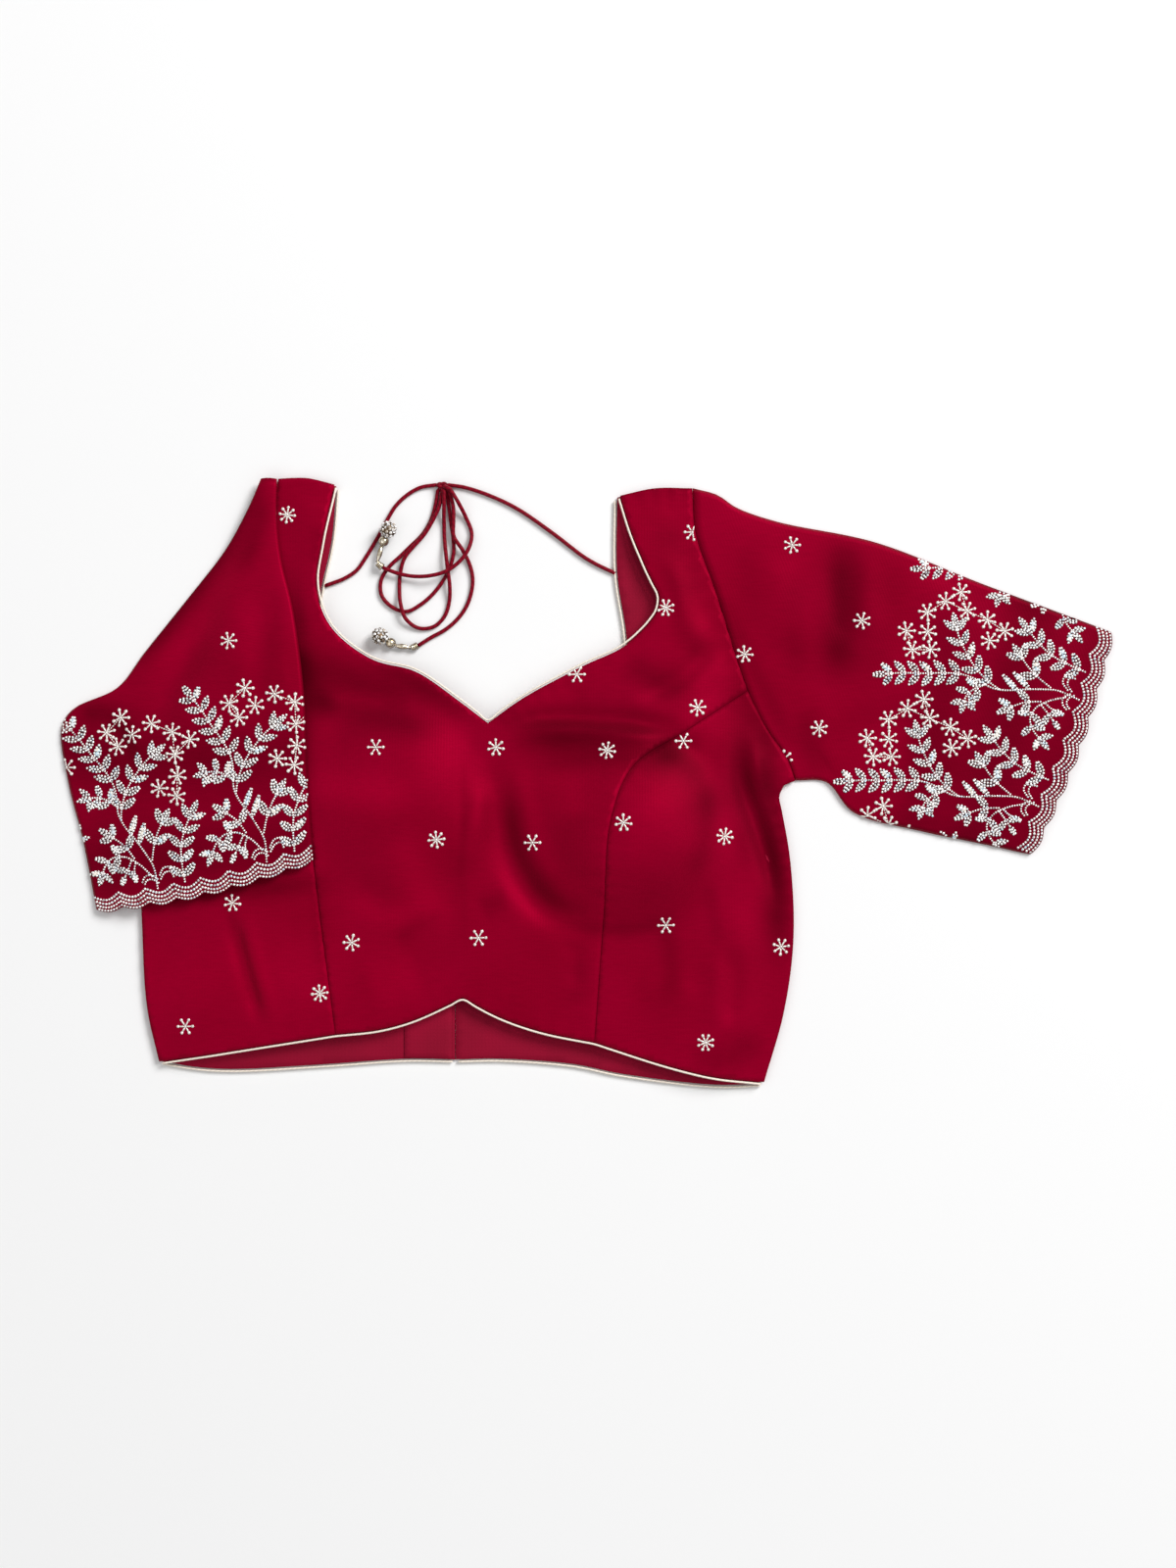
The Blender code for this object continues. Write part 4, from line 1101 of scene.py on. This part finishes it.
def one_piece(name, parts, finishes, matrix=Matrix.Identity(4)):
    """One or more objects as a single mesh, moved to its place and given its finishes."""
    bpy.ops.object.select_all(action="DESELECT")
    for part in parts:
        part.select_set(True)
    bpy.context.view_layer.objects.active = parts[0]
    if len(parts) > 1:
        bpy.ops.object.join()
    thing = bpy.context.object
    thing.name = name
    thing.data.name = name
    thing.data.transform(matrix @ thing.matrix_world)
    thing.matrix_world = Matrix.Identity(4)
    for finish in finishes:
        thing.data.materials.append(finish)
    return thing


def facing(place, axis):
    """The place of a thing whose Z axis points along a given axis."""
    return Matrix.Translation(place) @ axis.to_track_quat("Z", "Y").to_matrix().to_4x4()


class BLOUSE_OT_tassels(bpy.types.Operator):
    """Each cord's end: a coiled cap, a tapered spindle, a polished bead and a crystal ball"""
    bl_idname = "blouse.tassels"
    bl_label = "Tassels"
    CAP_TURNS = 4

    def execute(self, context):
        gold = once("plated brass, pale gold", plated_brass)
        for side, pieces in TASSELS.items():
            for kind, radius, length, heading, pitch in pieces:
                node = f"tassel_{side}_{kind}"
                heading, pitch = math.radians(heading), math.radians(pitch)
                axis = Vector((math.cos(pitch) * math.cos(heading),
                               math.cos(pitch) * math.sin(heading), math.sin(pitch)))
                low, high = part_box(node)
                parts = getattr(self, kind)(radius * MM, length * MM)
                cut = kind == "crystal"
                thing = one_piece(f"{node}_piece", parts, [] if cut else [gold],
                                  facing((low + high) / 2, axis))
                fitted(thing, "crystal" if cut else "gold", [node])
        return {"FINISHED"}

    def cap(self, radius, length):
        """Turns of wire over a core, where the cord goes in."""
        turns = [rounded(bpy.ops.mesh.primitive_torus_add, major_radius=radius * (0.84 - 0.06 * k),
                         minor_radius=length * 0.13, major_segments=20, minor_segments=8,
                         location=(0, 0, length * (-0.36 + 0.24 * k)))
                 for k in range(self.CAP_TURNS)]
        core = made(bpy.ops.mesh.primitive_cylinder_add, vertices=16, radius=radius * 0.7,
                    depth=length * 0.9)
        return turns + [core]

    def spindle(self, radius, length):
        """A smooth spindle, widest past its middle, between two small collars."""
        rod = rounded(bpy.ops.mesh.primitive_uv_sphere_add, segments=24, ring_count=24,
                      radius=length / 2)
        slim = radius * 3.3 / length
        for vertex in rod.data.vertices:
            lean = 0.72 + 0.28 * math.cos(math.pi * (vertex.co.z / length - 0.12))
            vertex.co.x *= slim * lean
            vertex.co.y *= slim * lean
        return [rod] + self.collars(radius * 0.95, length * 0.45, radius * 0.34)

    def collars(self, radius, reach, thick):
        """A small ring at each end of a piece."""
        return [rounded(bpy.ops.mesh.primitive_torus_add, major_radius=radius, minor_radius=thick,
                        major_segments=20, minor_segments=8, location=(0, 0, end * reach))
                for end in (-1, 1)]

    def bead(self, radius, length):
        """A polished ball between two small collars."""
        ball = rounded(bpy.ops.mesh.primitive_uv_sphere_add, segments=28, ring_count=16,
                       radius=radius * 1.17)
        return [ball] + self.collars(radius * 0.42, length * 0.47, radius * 0.13)

    def crystal(self, radius, length):
        """A core with a cut stone set at each point of a geodesic ball."""
        seats = made(bpy.ops.mesh.primitive_ico_sphere_add, subdivisions=2, radius=radius * 0.9)
        stone = made(bpy.ops.mesh.primitive_cone_add, vertices=8, radius1=radius * 0.24,
                     radius2=radius * 0.13, depth=radius * 0.2)
        bpy.ops.object.mode_set(mode="EDIT")
        bpy.ops.mesh.select_all(action="SELECT")
        bpy.ops.mesh.bevel(offset=radius * 0.02, segments=1)
        bpy.ops.object.mode_set(mode="OBJECT")
        seats.data.materials.append(once("blackened setting", dark_setting))
        stone.data.materials.append(once("cut crystal, foil backed", cut_crystal))
        parts = [seats]
        for vertex in seats.data.vertices:
            copy = stone.copy()
            copy.data = stone.data.copy()
            bpy.context.scene.collection.objects.link(copy)
            outward = vertex.co.normalized()
            copy.matrix_world = facing(outward * radius * 0.98, outward)
            parts.append(copy)
        bpy.data.objects.remove(stone, do_unlink=True)
        bpy.context.view_layer.update()
        return parts


def laid_line(node, plan, drop):
    """A plan line at the height of its solid, drop below the solid's top, ironed smooth."""
    tree = tree_of(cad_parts[node])
    z = np.full(len(plan), np.nan)
    for i, (x, y) in enumerate(plan):
        place, _ = fall_on(tree, x, y)
        if place is not None:
            z[i] = place.z - drop
    known = ~np.isnan(z)
    if not known.any():
        raise RuntimeError(f"the line of {node} doesn't pass over its solid")
    at = np.arange(len(plan))
    z = np.interp(at, at[known], z[known])
    for _ in range(3):
        padded = np.pad(z, 1, mode="edge")
        z = (padded[:-2] + 2 * padded[1:-1] + padded[2:]) / 4
    return np.column_stack([plan, z])


def into_knot(plan):
    """A cord's plan line, with each end that stops beside the knot run on into it."""
    beside = 8.0
    for _ in range(2):
        plan = plan[::-1]
        gap = np.array(KNOT_CENTRE) - plan[-1]
        if np.linalg.norm(gap) < beside:
            plan = np.vstack([plan, plan[-1] + gap * 0.4, plan[-1] + gap * 0.75])
    return plan


class BLOUSE_OT_cords(bpy.types.Operator):
    """The two leads from the neck, the bow's loops and two ends, and the knot that holds them"""
    bl_idname = "blouse.cords"
    bl_label = "Tie Cords"
    # Size of the knot's turns each way, its height, and how much thinner it pulls the cord
    KNOT_SIZE = (0.85, 0.62, 0.9)
    KNOT_HEIGHT = 3.1
    KNOT_PULL = 0.95
    # How far above the floor a cord's underside stays
    CLEAR = 0.05

    def execute(self, context):
        finish = dyed("rolled silk cord", wrapped_satin, "cord", dark=linear("#3c0210"), lay_mm=2.8)
        turns = np.linspace(0, 2 * math.pi, 73)
        knot = np.column_stack([np.sin(turns) + 2 * np.sin(2 * turns),
                                np.cos(turns) - 2 * np.cos(2 * turns), -np.sin(3 * turns)])
        path = knot * self.KNOT_SIZE + (*KNOT_CENTRE, self.KNOT_HEIGHT)
        pulled = CORD_RADIUS * self.KNOT_PULL
        wrap = add_tube("knot", path, (pulled, pulled), finish, "cord", "tie_knot")
        for name, points in CORD_ROUTES.items():
            plan = smooth(smooth(points, CORD_STEP), 2.0)
            if name.startswith("lead"):
                back = plan[0] - plan[2]
                plan = np.vstack([plan[0] + back / np.linalg.norm(back) * SEWN_IN, plan])
            line = laid_line(f"tie_{name}", into_knot(plan), CORD_RADIUS)
            line[:, 2] = np.maximum(line[:, 2], CORD_RADIUS + self.CLEAR)
            cord = add_tube(f"cord_{name}", line, (CORD_RADIUS, CORD_RADIUS), finish, "cord",
                            f"tie_{name}")
            route = placed(line)
        return {"FINISHED"}


class BLOUSE_OT_back(bpy.types.Operator):
    """The two back panels, their lining that shows inside the neck and the hem, and the placket"""
    bl_idname = "blouse.back"
    bl_label = "Back and Lining"
    # Width of the waves, how far from an edge they start, their base and highest point
    WAVE_SIZE, WAVE_EDGE, WAVE_BASE, WAVE_TOP = 34.0, 6.0, 0.06, 0.24
    # Rounding of the edges: depth on the panels and on the placket, and width
    ROUND, PLACKET_ROUND, ROUND_WIDTH = 0.25, 0.3, 1.5

    def sheet(self, node, level, spacing, step, over, rests_on):
        """One flat layer, silk outside and lining inside."""
        finish, slot = (body_silk(), "silk") if level == "back" else (lining(), "lining")

        def lower(x, y):
            return np.full(np.shape(x), LAYER_LEVEL[level])

        cloth_shell(node, rounded_outline(rim_of(node), spacing), lower, BACK_THICK, step, finish,
                    over, slot, rests_on)

    def execute(self, context):
        wave = context.scene.blouse_sizes.lining_wave / MM
        for side, seed in (("left", 11), ("right", 12)):
            for level, lift in (("back", 0.0), ("back_lining", wave)):
                def over(x, y, away, along):
                    soft = lift * undulation(x, y, self.WAVE_SIZE, seed)
                    soft = soft * ease(away / self.WAVE_EDGE) - self.WAVE_BASE
                    return (np.minimum(soft, self.WAVE_TOP)
                            - self.ROUND * np.exp(-(away / self.ROUND_WIDTH) ** 2))

                self.sheet(f"{level}_{side}", level, 3.0, 4.0, over,
                           ["floor"] if level == "back" else [f"back_{side}"])

        def rounding(x, y, away, along):
            return -self.PLACKET_ROUND * np.exp(-(away / self.ROUND_WIDTH) ** 2)

        self.sheet("back_placket", "back_placket", 2.0, 3.0, rounding, ["back_lining_left"])
        return {"FINISHED"}


class BLOUSE_OT_front(bpy.types.Operator):
    """The front's centre and side panels, with moulded cups, princess seams and soft creases"""
    bl_idname = "blouse.front"
    bl_label = "Front"
    # The cloth's under face lies this far below the solids' top, which is softened first
    BELOW_TOP = 1.5
    SOFTEN = 4.5
    # Seams meet: each panel reaches a little past its solid's outline
    SEAM_REACH = 0.13
    # Shares of the relief that the under face follows, and that the upper face adds to it
    UNDER_SHARE, UPPER_SHARE = 0.9, 0.12

    def execute(self, context):
        sizes = context.scene.blouse_sizes
        dip = sizes.seam_dip / MM
        pucker = sizes.pucker / MM
        heights = Heights(FRONT_PANELS, soften=self.SOFTEN)

        def relief(x, y, away, along):
            lift = sizes.creases * creased(x, y, FRONT_CREASES) + 0.6 * undulation(x, y, 70.0, 3)
            gather = np.sin(2 * math.pi * along / 11.0 + 2.6 * np.sin(along / 19.0))
            gather *= np.exp(-away / 7.0) * (0.5 + 0.5 * np.sin(along / 31.0 + 1.0))
            return lift * ease(away / 16.0) + pucker * gather - dip * np.exp(-(away / 2.2) ** 2)

        for node in FRONT_PANELS:
            outline = inset_outline(rounded_outline(rim_of(node), 2.8), -self.SEAM_REACH)

            def lower(x, y):
                away, along, _ = nearest_on(closed(outline), x, y)
                return (heights.at(x, y) - self.BELOW_TOP
                        + np.where(away > 1e-3, relief(x, y, away, along), 0.0) * self.UNDER_SHARE)

            def over(x, y, away, along):
                return self.UPPER_SHARE * relief(x, y, away, along)

            thing = cloth_shell(node, outline, lower, FRONT_THICK, sizes.cloth_step / MM,
                                body_silk(), over, "silk",
                                ["back_lining_left", "back_lining_right"])
            # Painted shade and light in the silk's folds
            paint_fold_shade(thing, FRONT_PAINTED_SHADE)
        return {"FINISHED"}


class BLOUSE_OT_piping(bpy.types.Operator):
    """Cream piping round the neck and along the hems"""
    bl_idname = "blouse.piping"
    bl_label = "Piping"

    def execute(self, context):
        finish = dyed("bias satin piping", wrapped_satin, "piping", dark=linear("#ded2be"),
                      lay_mm=2.4)
        for node, curves in PIPING_LINES.items():
            plan = smooth(joined(*curves, step=8.5), 2.0)[1:-1]
            line = laid_line(node, plan, PIPING_HALF[1])
            add_tube(f"{node}_cloth", line, PIPING_HALF, finish, "piping", node)
        return {"FINISHED"}


def sleeve_plan(side):
    """The flat plan of a sleeve: u from its top fold to its low fold, v from armhole to cuff.

    It comes with the way out of the cuff and the cuff's top and low ends.
    """
    shape = SLEEVES[side]
    armhole = smooth(shape["armhole"], 2.0)
    top = smooth((shape["armhole"][0], *shape["top"]), 2.0)
    low = smooth((shape["armhole"][-1], *shape["low"]), 2.0)
    out = (top[-1] - low[-1])[::-1] * (1, -1)
    out = out / np.linalg.norm(out)
    out = out * np.sign(out @ (top[-1] - top[-12]))

    def along(curve, t):
        at = np.linspace(0.0, 1.0, len(curve))
        return np.column_stack([np.interp(t, at, curve[:, k]) for k in range(2)])

    def plan(u, v):
        u, v = np.broadcast_arrays(np.asarray(u, float), np.asarray(v, float))
        a, b = u[:, None], v[:, None]
        cuff = top[-1] + (low[-1] - top[-1]) * a + out * shape["bow"] * np.sin(math.pi * a)
        ends = along(armhole, u) * (1 - b) + cuff * b
        folds = along(top, v) * (1 - a) + along(low, v) * a
        corners = (armhole[0] * (1 - a) * (1 - b) + top[-1] * (1 - a) * b
                   + armhole[-1] * a * (1 - b) + low[-1] * a * b)
        return ends + folds - corners

    return plan, out, top[-1], low[-1]


class BLOUSE_OT_sleeves(bpy.types.Operator):
    """Both sleeves as flattened tubes with scalloped cuffs, lined inside"""
    bl_idname = "blouse.sleeves"
    bl_label = "Sleeves"
    COLUMNS = 96
    ROWS = 72
    # Length of the sleeve's cut, in m
    LENGTH = 0.285
    # Slant of the weave, and what each sleeve lies on
    LAID = {"right": (-0.35, ["floor"]),
            "left": (1.75, ["front_centre_cloth", "front_side_left_cloth"])}
    # Share of the length where the scallops start, and how open the sleeve is at its flattest
    SCALLOPED = 0.93
    LEAST_AIR = 0.4

    def execute(self, context):
        for side, (turn, rests_on) in self.LAID.items():
            faces, marks = self.faces(side)
            silk = dyed(f"silk satin, {side} sleeve", silk_satin, "silk", turn=turn)
            thing = add_piece(f"sleeve_{side}_cloth", self.points(side), faces, [silk, lining()],
                              marks, slot="silk", nodes=[f"sleeve_{side}"])
            # Painted shade and light in the silk's folds
            paint_fold_shade(thing, SLEEVE_PAINTED_SHADE[side])
            declare_sheet(thing, rests_on, self.LENGTH)
        return {"FINISHED"}

    def points(self, side):
        """Rings from the armhole to the cuff, outer face and then inner: each one runs down the
        upper side and back up the lower.
        """
        plan, out, _, _ = sleeve_plan(side)
        depth = bpy.context.scene.blouse_sizes.creases
        air = np.array(SLEEVES[side]["air"])
        rest = Heights([f"sleeve_{side}"], above=False, soften=5.0, trim=3)
        u = np.linspace(0.0, 1.0, self.COLUMNS + 1)
        places = np.concatenate([u[:-1], u[::-1][:-1]])
        face_up = np.repeat((1.0, -1.0), self.COLUMNS)
        points = []
        for inner in (False, True):
            for row in np.linspace(0.0, 1.0, self.ROWS) ** 0.92:
                width = np.linalg.norm(plan([0.0], row)[0] - plan([1.0], row)[0])
                inset = SLEEVE_WALL / width if inner else 0.0
                share = inset + places * (1 - 2 * inset)
                wave = np.abs(np.sin(math.pi * SCALLOPS_ACROSS * share))
                reach = ease((row - self.SCALLOPED) / (1 - self.SCALLOPED))
                flat = plan(share, row) + out * (SCALLOP_DEPTH * (wave - 1) * reach)[:, None]
                x, y = flat[:, 0], flat[:, 1]
                gap = np.interp(row, air[:, 0], air[:, 1])
                open_by = self.LEAST_AIR + gap * np.sin(math.pi * np.clip(places, 0, 1)) ** 0.7
                half = open_by / 2 + (0.0 if inner else SLEEVE_WALL)
                from_fold = np.minimum(places, 1 - places) * width
                edge = np.minimum(from_fold / half, 1.0)
                soft = np.sqrt(np.maximum(0.0, 1 - (1 - edge) ** 2))
                middle = rest.at(x, y) + open_by / 2 + SLEEVE_WALL
                crease = (depth * creased(x, y, SLEEVE_CREASES[side])
                          + 0.5 * undulation(x, y, 60.0, 7))
                fade = ease(from_fold / 14.0) * ease(row / 0.06) * ease((1.0 - row) / 0.1 + 0.35)
                lift = np.where(face_up > 0, np.maximum(crease * fade, -0.45 * open_by), 0.0)
                points.append(np.column_stack([x, y, middle + face_up * half * soft + lift]))
        return np.vstack(points)

    def faces(self, side):
        """Faces of both walls and of the two rims that join them, with the finish of each."""
        ring = 2 * self.COLUMNS
        inner = self.ROWS * ring
        last = inner - ring
        faces = []
        for start in (0, inner):
            for row in range(start, start + last, ring):
                for k in range(ring):
                    a, b = row + k, row + (k + 1) % ring
                    quad = [a, a + ring, b + ring, b]
                    faces.append(quad[::-1] if start else quad)
        marks = [0] * (len(faces) // 2) + [1] * (len(faces) // 2) + [0] * (2 * ring)
        for k in range(ring):
            n = (k + 1) % ring
            faces += [[k, n, inner + n, inner + k],
                      [last + k, inner + last + k, inner + last + n, last + n]]
        return [face[::-1] for face in faces] if side == "right" else faces, marks


class Beadwork:
    """Beads and stitches laid on cloth, kept in lists and then made into one mesh."""
    SIDES = 6
    RINGS = ((1.0, 0.0), (0.86, 0.66))
    # Height of a bead as a share of its width, how far it sinks into the cloth, how much sizes vary
    RISE, SINK, VARY = 0.4, 0.08, 0.07
    # How far beads lean from upright at random, so that they flash unevenly
    TILT = 0.22
    # Height of the padding under each leaf
    GROUND = 0.2
    # Marks of the finishes
    BEADS, THREAD, SEQUINS, PADDING = range(4)
    # Petals and centre of a flower in shares of its radius, how far out, length and width, and then
    # their height
    PETAL = ((0.42, 0.76, 0.2, 0.5), (0.82, 0.42, 0.38, 0.7))
    CENTRE = (0.32, 0.7)

    def __init__(self, tree, outline, cover=None):
        self.tree = tree
        self.outline = outline
        self.cover = cover
        self.rows = []

    def add(self, x, y, heading, length, width, height, finish=BEADS):
        self.rows.append((x, y, heading, length, width, height, finish))

    def line(self, points, spacing, length, width, finish=BEADS):
        """A row of beads along a line, evenly spaced."""
        path = smooth(points, 0.4)
        run = run_along(path)
        count = max(1, round(run[-1] / spacing))
        ahead = np.gradient(path, axis=0)
        for place in (np.arange(count) + 0.5) * run[-1] / count:
            x, y = (np.interp(place, run, path[:, k]) for k in range(2))
            dx, dy = (np.interp(place, run, ahead[:, k]) for k in range(2))
            self.add(x, y, math.atan2(dy, dx), length, width, width * self.RISE, finish)

    def leaf(self, foot, heading, length, width, bright, to_plan):
        """A pointed leaf in local mm: beads round its edge, and a vein or sequins inside."""
        way = np.array((math.sin(heading), math.cos(heading)))
        across = np.array((way[1], -way[0]))

        def along(share):
            """The place at a share of the leaf's length, and the way that it points there."""
            x, y = to_plan(*(np.asarray(foot) + way * length * share))
            ahead = to_plan(*(np.asarray(foot) + way * length * (share + 0.1)))
            return x, y, math.atan2(ahead[1] - y, ahead[0] - x)

        fine = np.linspace(0, 1, 24)
        half = (width - BEAD) / 2 * np.sin(math.pi * fine ** 0.9) ** 0.75
        spine = np.asarray(foot)[None] + way * (fine * length)[:, None]
        edge = np.vstack([spine + across * half[:, None], (spine - across * half[:, None])[::-1]])
        run = run_along(edge)
        count = max(6, round(run[-1] / BEAD_GAP))
        for k in range(count):
            place = [np.interp(k * run[-1] / count, run, edge[:, i]) for i in range(2)]
            self.add(*to_plan(*place), heading, BEAD, BEAD, BEAD * self.RISE)
        # A near black padded patch under the leaf: painted shade in the gaps between its beads
        self.add(*along(0.5), length + 0.8, width * 1.04, self.GROUND, self.PADDING)
        # The vein, or sequins, over the middle of the leaf
        start, covered = 0.22, 0.56
        inside = max(1, round(covered * length / (2.4 if bright else BEAD_GAP)))
        for k in range(inside):
            x, y, turn = along(start + covered * (k + 0.5) / inside)
            if bright:
                self.add(x, y, turn, 3.1, width * 0.66, 0.6, self.SEQUINS)
            else:
                self.add(x, y, 0.0, BEAD, BEAD, BEAD * self.RISE)

    def flower(self, x, y, radius, petals, turn):
        """Stalks that end in round stitches, about a small centre."""
        for k in range(petals):
            a = turn + 2 * math.pi * k / petals
            c, d = math.cos(a), math.sin(a)
            for out, length, width, height in self.PETAL:
                self.add(x + c * radius * out, y + d * radius * out, a, radius * length,
                         radius * width, height, self.THREAD)
        across, height = self.CENTRE
        self.add(x, y, 0.0, radius * across, radius * across, height, self.THREAD)

    def fits(self, row):
        """Whether a bead lies inside the outline, and a leaf's padding with both of its ends."""
        x, y, heading, length, _, _, finish = row
        reach = length / 2 if finish == self.PADDING else 0.0
        ends = np.array((-reach, reach))
        return is_inside(self.outline, x + ends * math.cos(heading),
                         y + ends * math.sin(heading)).all()

    def build(self, name):
        """All of the beads as one mesh: low six sided domes, seated on the cloth."""
        picks = np.random.default_rng(5)
        n = self.SIDES
        turn = 2 * math.pi * np.arange(n) / n
        rings = [(r * math.cos(a), r * math.sin(a), z) for r, z in self.RINGS for a in turn]
        shape = np.array(rings + [(0, 0, 1.0)])
        pattern = [[k, (k + 1) % n, n + (k + 1) % n, n + k] for k in range(n)]
        pattern += [[n + k, n + (k + 1) % n, 2 * n] for k in range(n)]
        pattern.append(list(range(n))[::-1])
        points = []
        faces = []
        marks = []
        for row in self.rows:
            x, y, heading, length, width, height, finish = row
            if self.outline is not None and not self.fits(row):
                continue
            if self.cover is not None and fall_on(self.cover, x, y)[0] is not None:
                continue
            place, normal = fall_on(self.tree, x, y)
            if place is None or normal.z < 0.3:
                continue
            tilt = 0.0 if finish == self.PADDING else self.TILT
            up = np.array(normal) + np.append(picks.uniform(-tilt, tilt, 2), 0.0)
            up /= np.linalg.norm(up)
            ahead = np.array((math.cos(heading), math.sin(heading), 0.0))
            ahead -= up * (ahead @ up)
            ahead /= np.linalg.norm(ahead)
            grow = picks.uniform(1 - self.VARY, 1 + self.VARY)
            start = len(points) * len(shape)
            local = shape * (length / 2 * grow, width / 2 * grow, height * grow) - (0, 0, self.SINK)
            points.append(np.array(place) + local @ np.array((ahead, np.cross(up, ahead), up)))
            faces.extend([i + start for i in face] for face in pattern)
            marks.extend([finish] * len(pattern))
        if not points:
            raise RuntimeError(f"{name} has no beads on its cloth")
        add_piece(name, np.vstack(points), faces, bead_finishes(), marks, slot="crystal")


def sleeve_outline(side):
    """The edge of a sleeve's flat plan, moved in a little."""
    steps, inset = 59, 0.5
    plan = sleeve_plan(side)[0]
    t = np.linspace(0.0, 1.0, steps + 1)[:-1]
    start, end = 0 * t, 0 * t + 1
    edge = np.vstack([plan(start, t), plan(t, end), plan(end, 1 - t), plan(1 - t, start)])
    area = np.sum(edge[:, 0] * np.roll(edge[:, 1], -1) - np.roll(edge[:, 0], -1) * edge[:, 1])
    return inset_outline(edge if area > 0 else edge[::-1], inset)


class BLOUSE_OT_cuff_beads(bpy.types.Operator):
    """Scalloped border rows and leafy plants in beads on both cuffs"""
    bl_idname = "blouse.cuff_beads"
    bl_label = "Cuff Embroidery"
    # How far up the sleeve the cuff's bow still shows
    BOW_REACH = 120
    # Chain stitches that join flowers: spacing, length and width
    LINK = (1.7, 1.6, 0.8)

    def execute(self, context):
        for side in PLANTS:
            self.build(side)
        return {"FINISHED"}

    def build(self, side):
        _, out, top, low = sleeve_plan(side)
        length = np.linalg.norm(low - top)
        along = (low - top) / length
        plants = PLANTS[side]
        tree = tree_of(bpy.data.objects[f"sleeve_{side}_cloth"])
        work = Beadwork(tree, sleeve_outline(side))

        def to_plan(s, t):
            """From mm along the cuff and up the sleeve to the flat plan."""
            t = t * plants["tall"]
            spread = length / 2 + (s - length / 2) * (1 + plants["fan"] * t)
            rise = (SLEEVES[side]["bow"] * math.sin(math.pi * min(max(s / length, 0.0), 1.0))
                    * max(0.0, 1 - t / self.BOW_REACH))
            return top + along * spread + out * (rise - t)

        s = np.arange(0.0, length, 0.5)
        wave = np.abs(np.sin(math.pi * SCALLOPS_ACROSS * s / length))
        for depth, spacing, size, width in BORDER_ROWS:
            deeper = 1.0 + depth * 0.07
            row = [to_plan(a, depth + SCALLOP_DEPTH * deeper * (1 - w)) for a, w in zip(s, wave)]
            work.line(row, spacing, size, width)
        for root in plants["roots"]:
            self.plant(work, lambda s, t: to_plan(root + plants["lean"] * s, t))
        work.build(f"cuff_beads_{side}")
        scattered = Beadwork(tree, work.outline)
        for k, (x, y) in enumerate(SLEEVE_FLOWERS[side]):
            scattered.flower(x, y, FLOWER_RADIUS, 7, 0.4 * k)
        scattered.build(f"sleeve_flowers_{side}")

    def plant(self, work, grow):
        """One plant: its stems with pairs of leaves, its slim leaves and its chain of flowers."""
        number = 0
        for points, first, last, pairs, size, width, spread, tip in STEMS:
            path = smooth(points, 0.5)
            work.line([grow(*p) for p in path[::2]], STEM_GAP, STEM_BEAD, STEM_BEAD)
            ways = np.gradient(path, axis=0)
            for k in range(pairs):
                share = first + (last - first) * k / max(pairs - 1, 1)
                at = int(share * (len(path) - 1))
                heading = math.atan2(*ways[at])
                for hand in (-1, 1):
                    turn = heading + hand * math.radians(spread)
                    start = path[at] + (math.sin(turn), math.cos(turn))
                    number += 1
                    scale = 1.0 - 0.12 * k / max(pairs, 1)
                    work.leaf(start, turn, size * scale, width * scale, number % 6 == 0, grow)
            if tip:
                work.leaf(path[-1], math.atan2(*ways[-1]), size * 0.9, width * 0.9, number % 4 == 1,
                          grow)
        for foot, size, width, heading in SLIM_LEAVES:
            work.leaf(foot, math.radians(heading), size, width, True, grow)
        for k, place in enumerate(CHAIN):
            work.flower(*grow(*place), CHAIN_RADIUS, 7, 0.3 * k)
        for a, b in CHAIN_LINKS:
            work.line([grow(*CHAIN[a]), grow(*CHAIN[b])], *self.LINK, work.THREAD)


class BLOUSE_OT_body_flowers(bpy.types.Operator):
    """Small stitched flowers scattered over the front"""
    bl_idname = "blouse.body_flowers"
    bl_label = "Scattered Flowers"

    def execute(self, context):
        cloth = tree_of(*[bpy.data.objects[f"{node}_cloth"] for node in FRONT_PANELS])
        cover = tree_of(*[bpy.data.objects[f"sleeve_{side}_cloth"] for side in ("left", "right")])
        work = Beadwork(cloth, None, cover)
        for k, (x, y) in enumerate(BODY_FLOWERS):
            work.flower(x, y, FLOWER_RADIUS, 6 + k % 3, 0.7 * k)
        work.build("body_flowers")
        return {"FINISHED"}


OPERATORS = (BLOUSE_OT_stage, BLOUSE_OT_tassels, BLOUSE_OT_cords, BLOUSE_OT_back, BLOUSE_OT_front,
             BLOUSE_OT_piping, BLOUSE_OT_sleeves, BLOUSE_OT_cuff_beads, BLOUSE_OT_body_flowers)


class BLOUSE_PT_panel(bpy.types.Panel):
    """Lists the blouse's pieces, in the order that they are made"""
    bl_label = "Saree Blouse"
    bl_idname = "BLOUSE_PT_panel"
    bl_space_type = "VIEW_3D"
    bl_region_type = "UI"
    bl_category = "Blouse"

    def draw(self, context):
        for operator in OPERATORS:
            self.layout.operator(operator.bl_idname)
        for name, kind in GROUPS:
            for setting in kind.__annotations__:
                self.layout.prop(getattr(context.scene, name), setting)


GROUPS = (("blouse_sizes", BlouseSizes), ("blouse_colours", BlouseColours),
          ("blouse_stage", BlouseStage))


def register():
    for name, group in GROUPS:
        bpy.utils.register_class(group)
        setattr(bpy.types.Scene, name, PointerProperty(type=group))
    for operator in OPERATORS:
        bpy.utils.register_class(operator)
    bpy.utils.register_class(BLOUSE_PT_panel)


def unregister():
    bpy.utils.unregister_class(BLOUSE_PT_panel)
    for operator in reversed(OPERATORS):
        bpy.utils.unregister_class(operator)
    for name, group in reversed(GROUPS):
        delattr(bpy.types.Scene, name)
        bpy.utils.unregister_class(group)


def main():
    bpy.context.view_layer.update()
    register()
    for operator in OPERATORS:
        group, action = operator.bl_idname.split(".")
        getattr(getattr(bpy.ops, group), action)()
    bpy.context.view_layer.update()


if __name__ == "__main__":
    main()
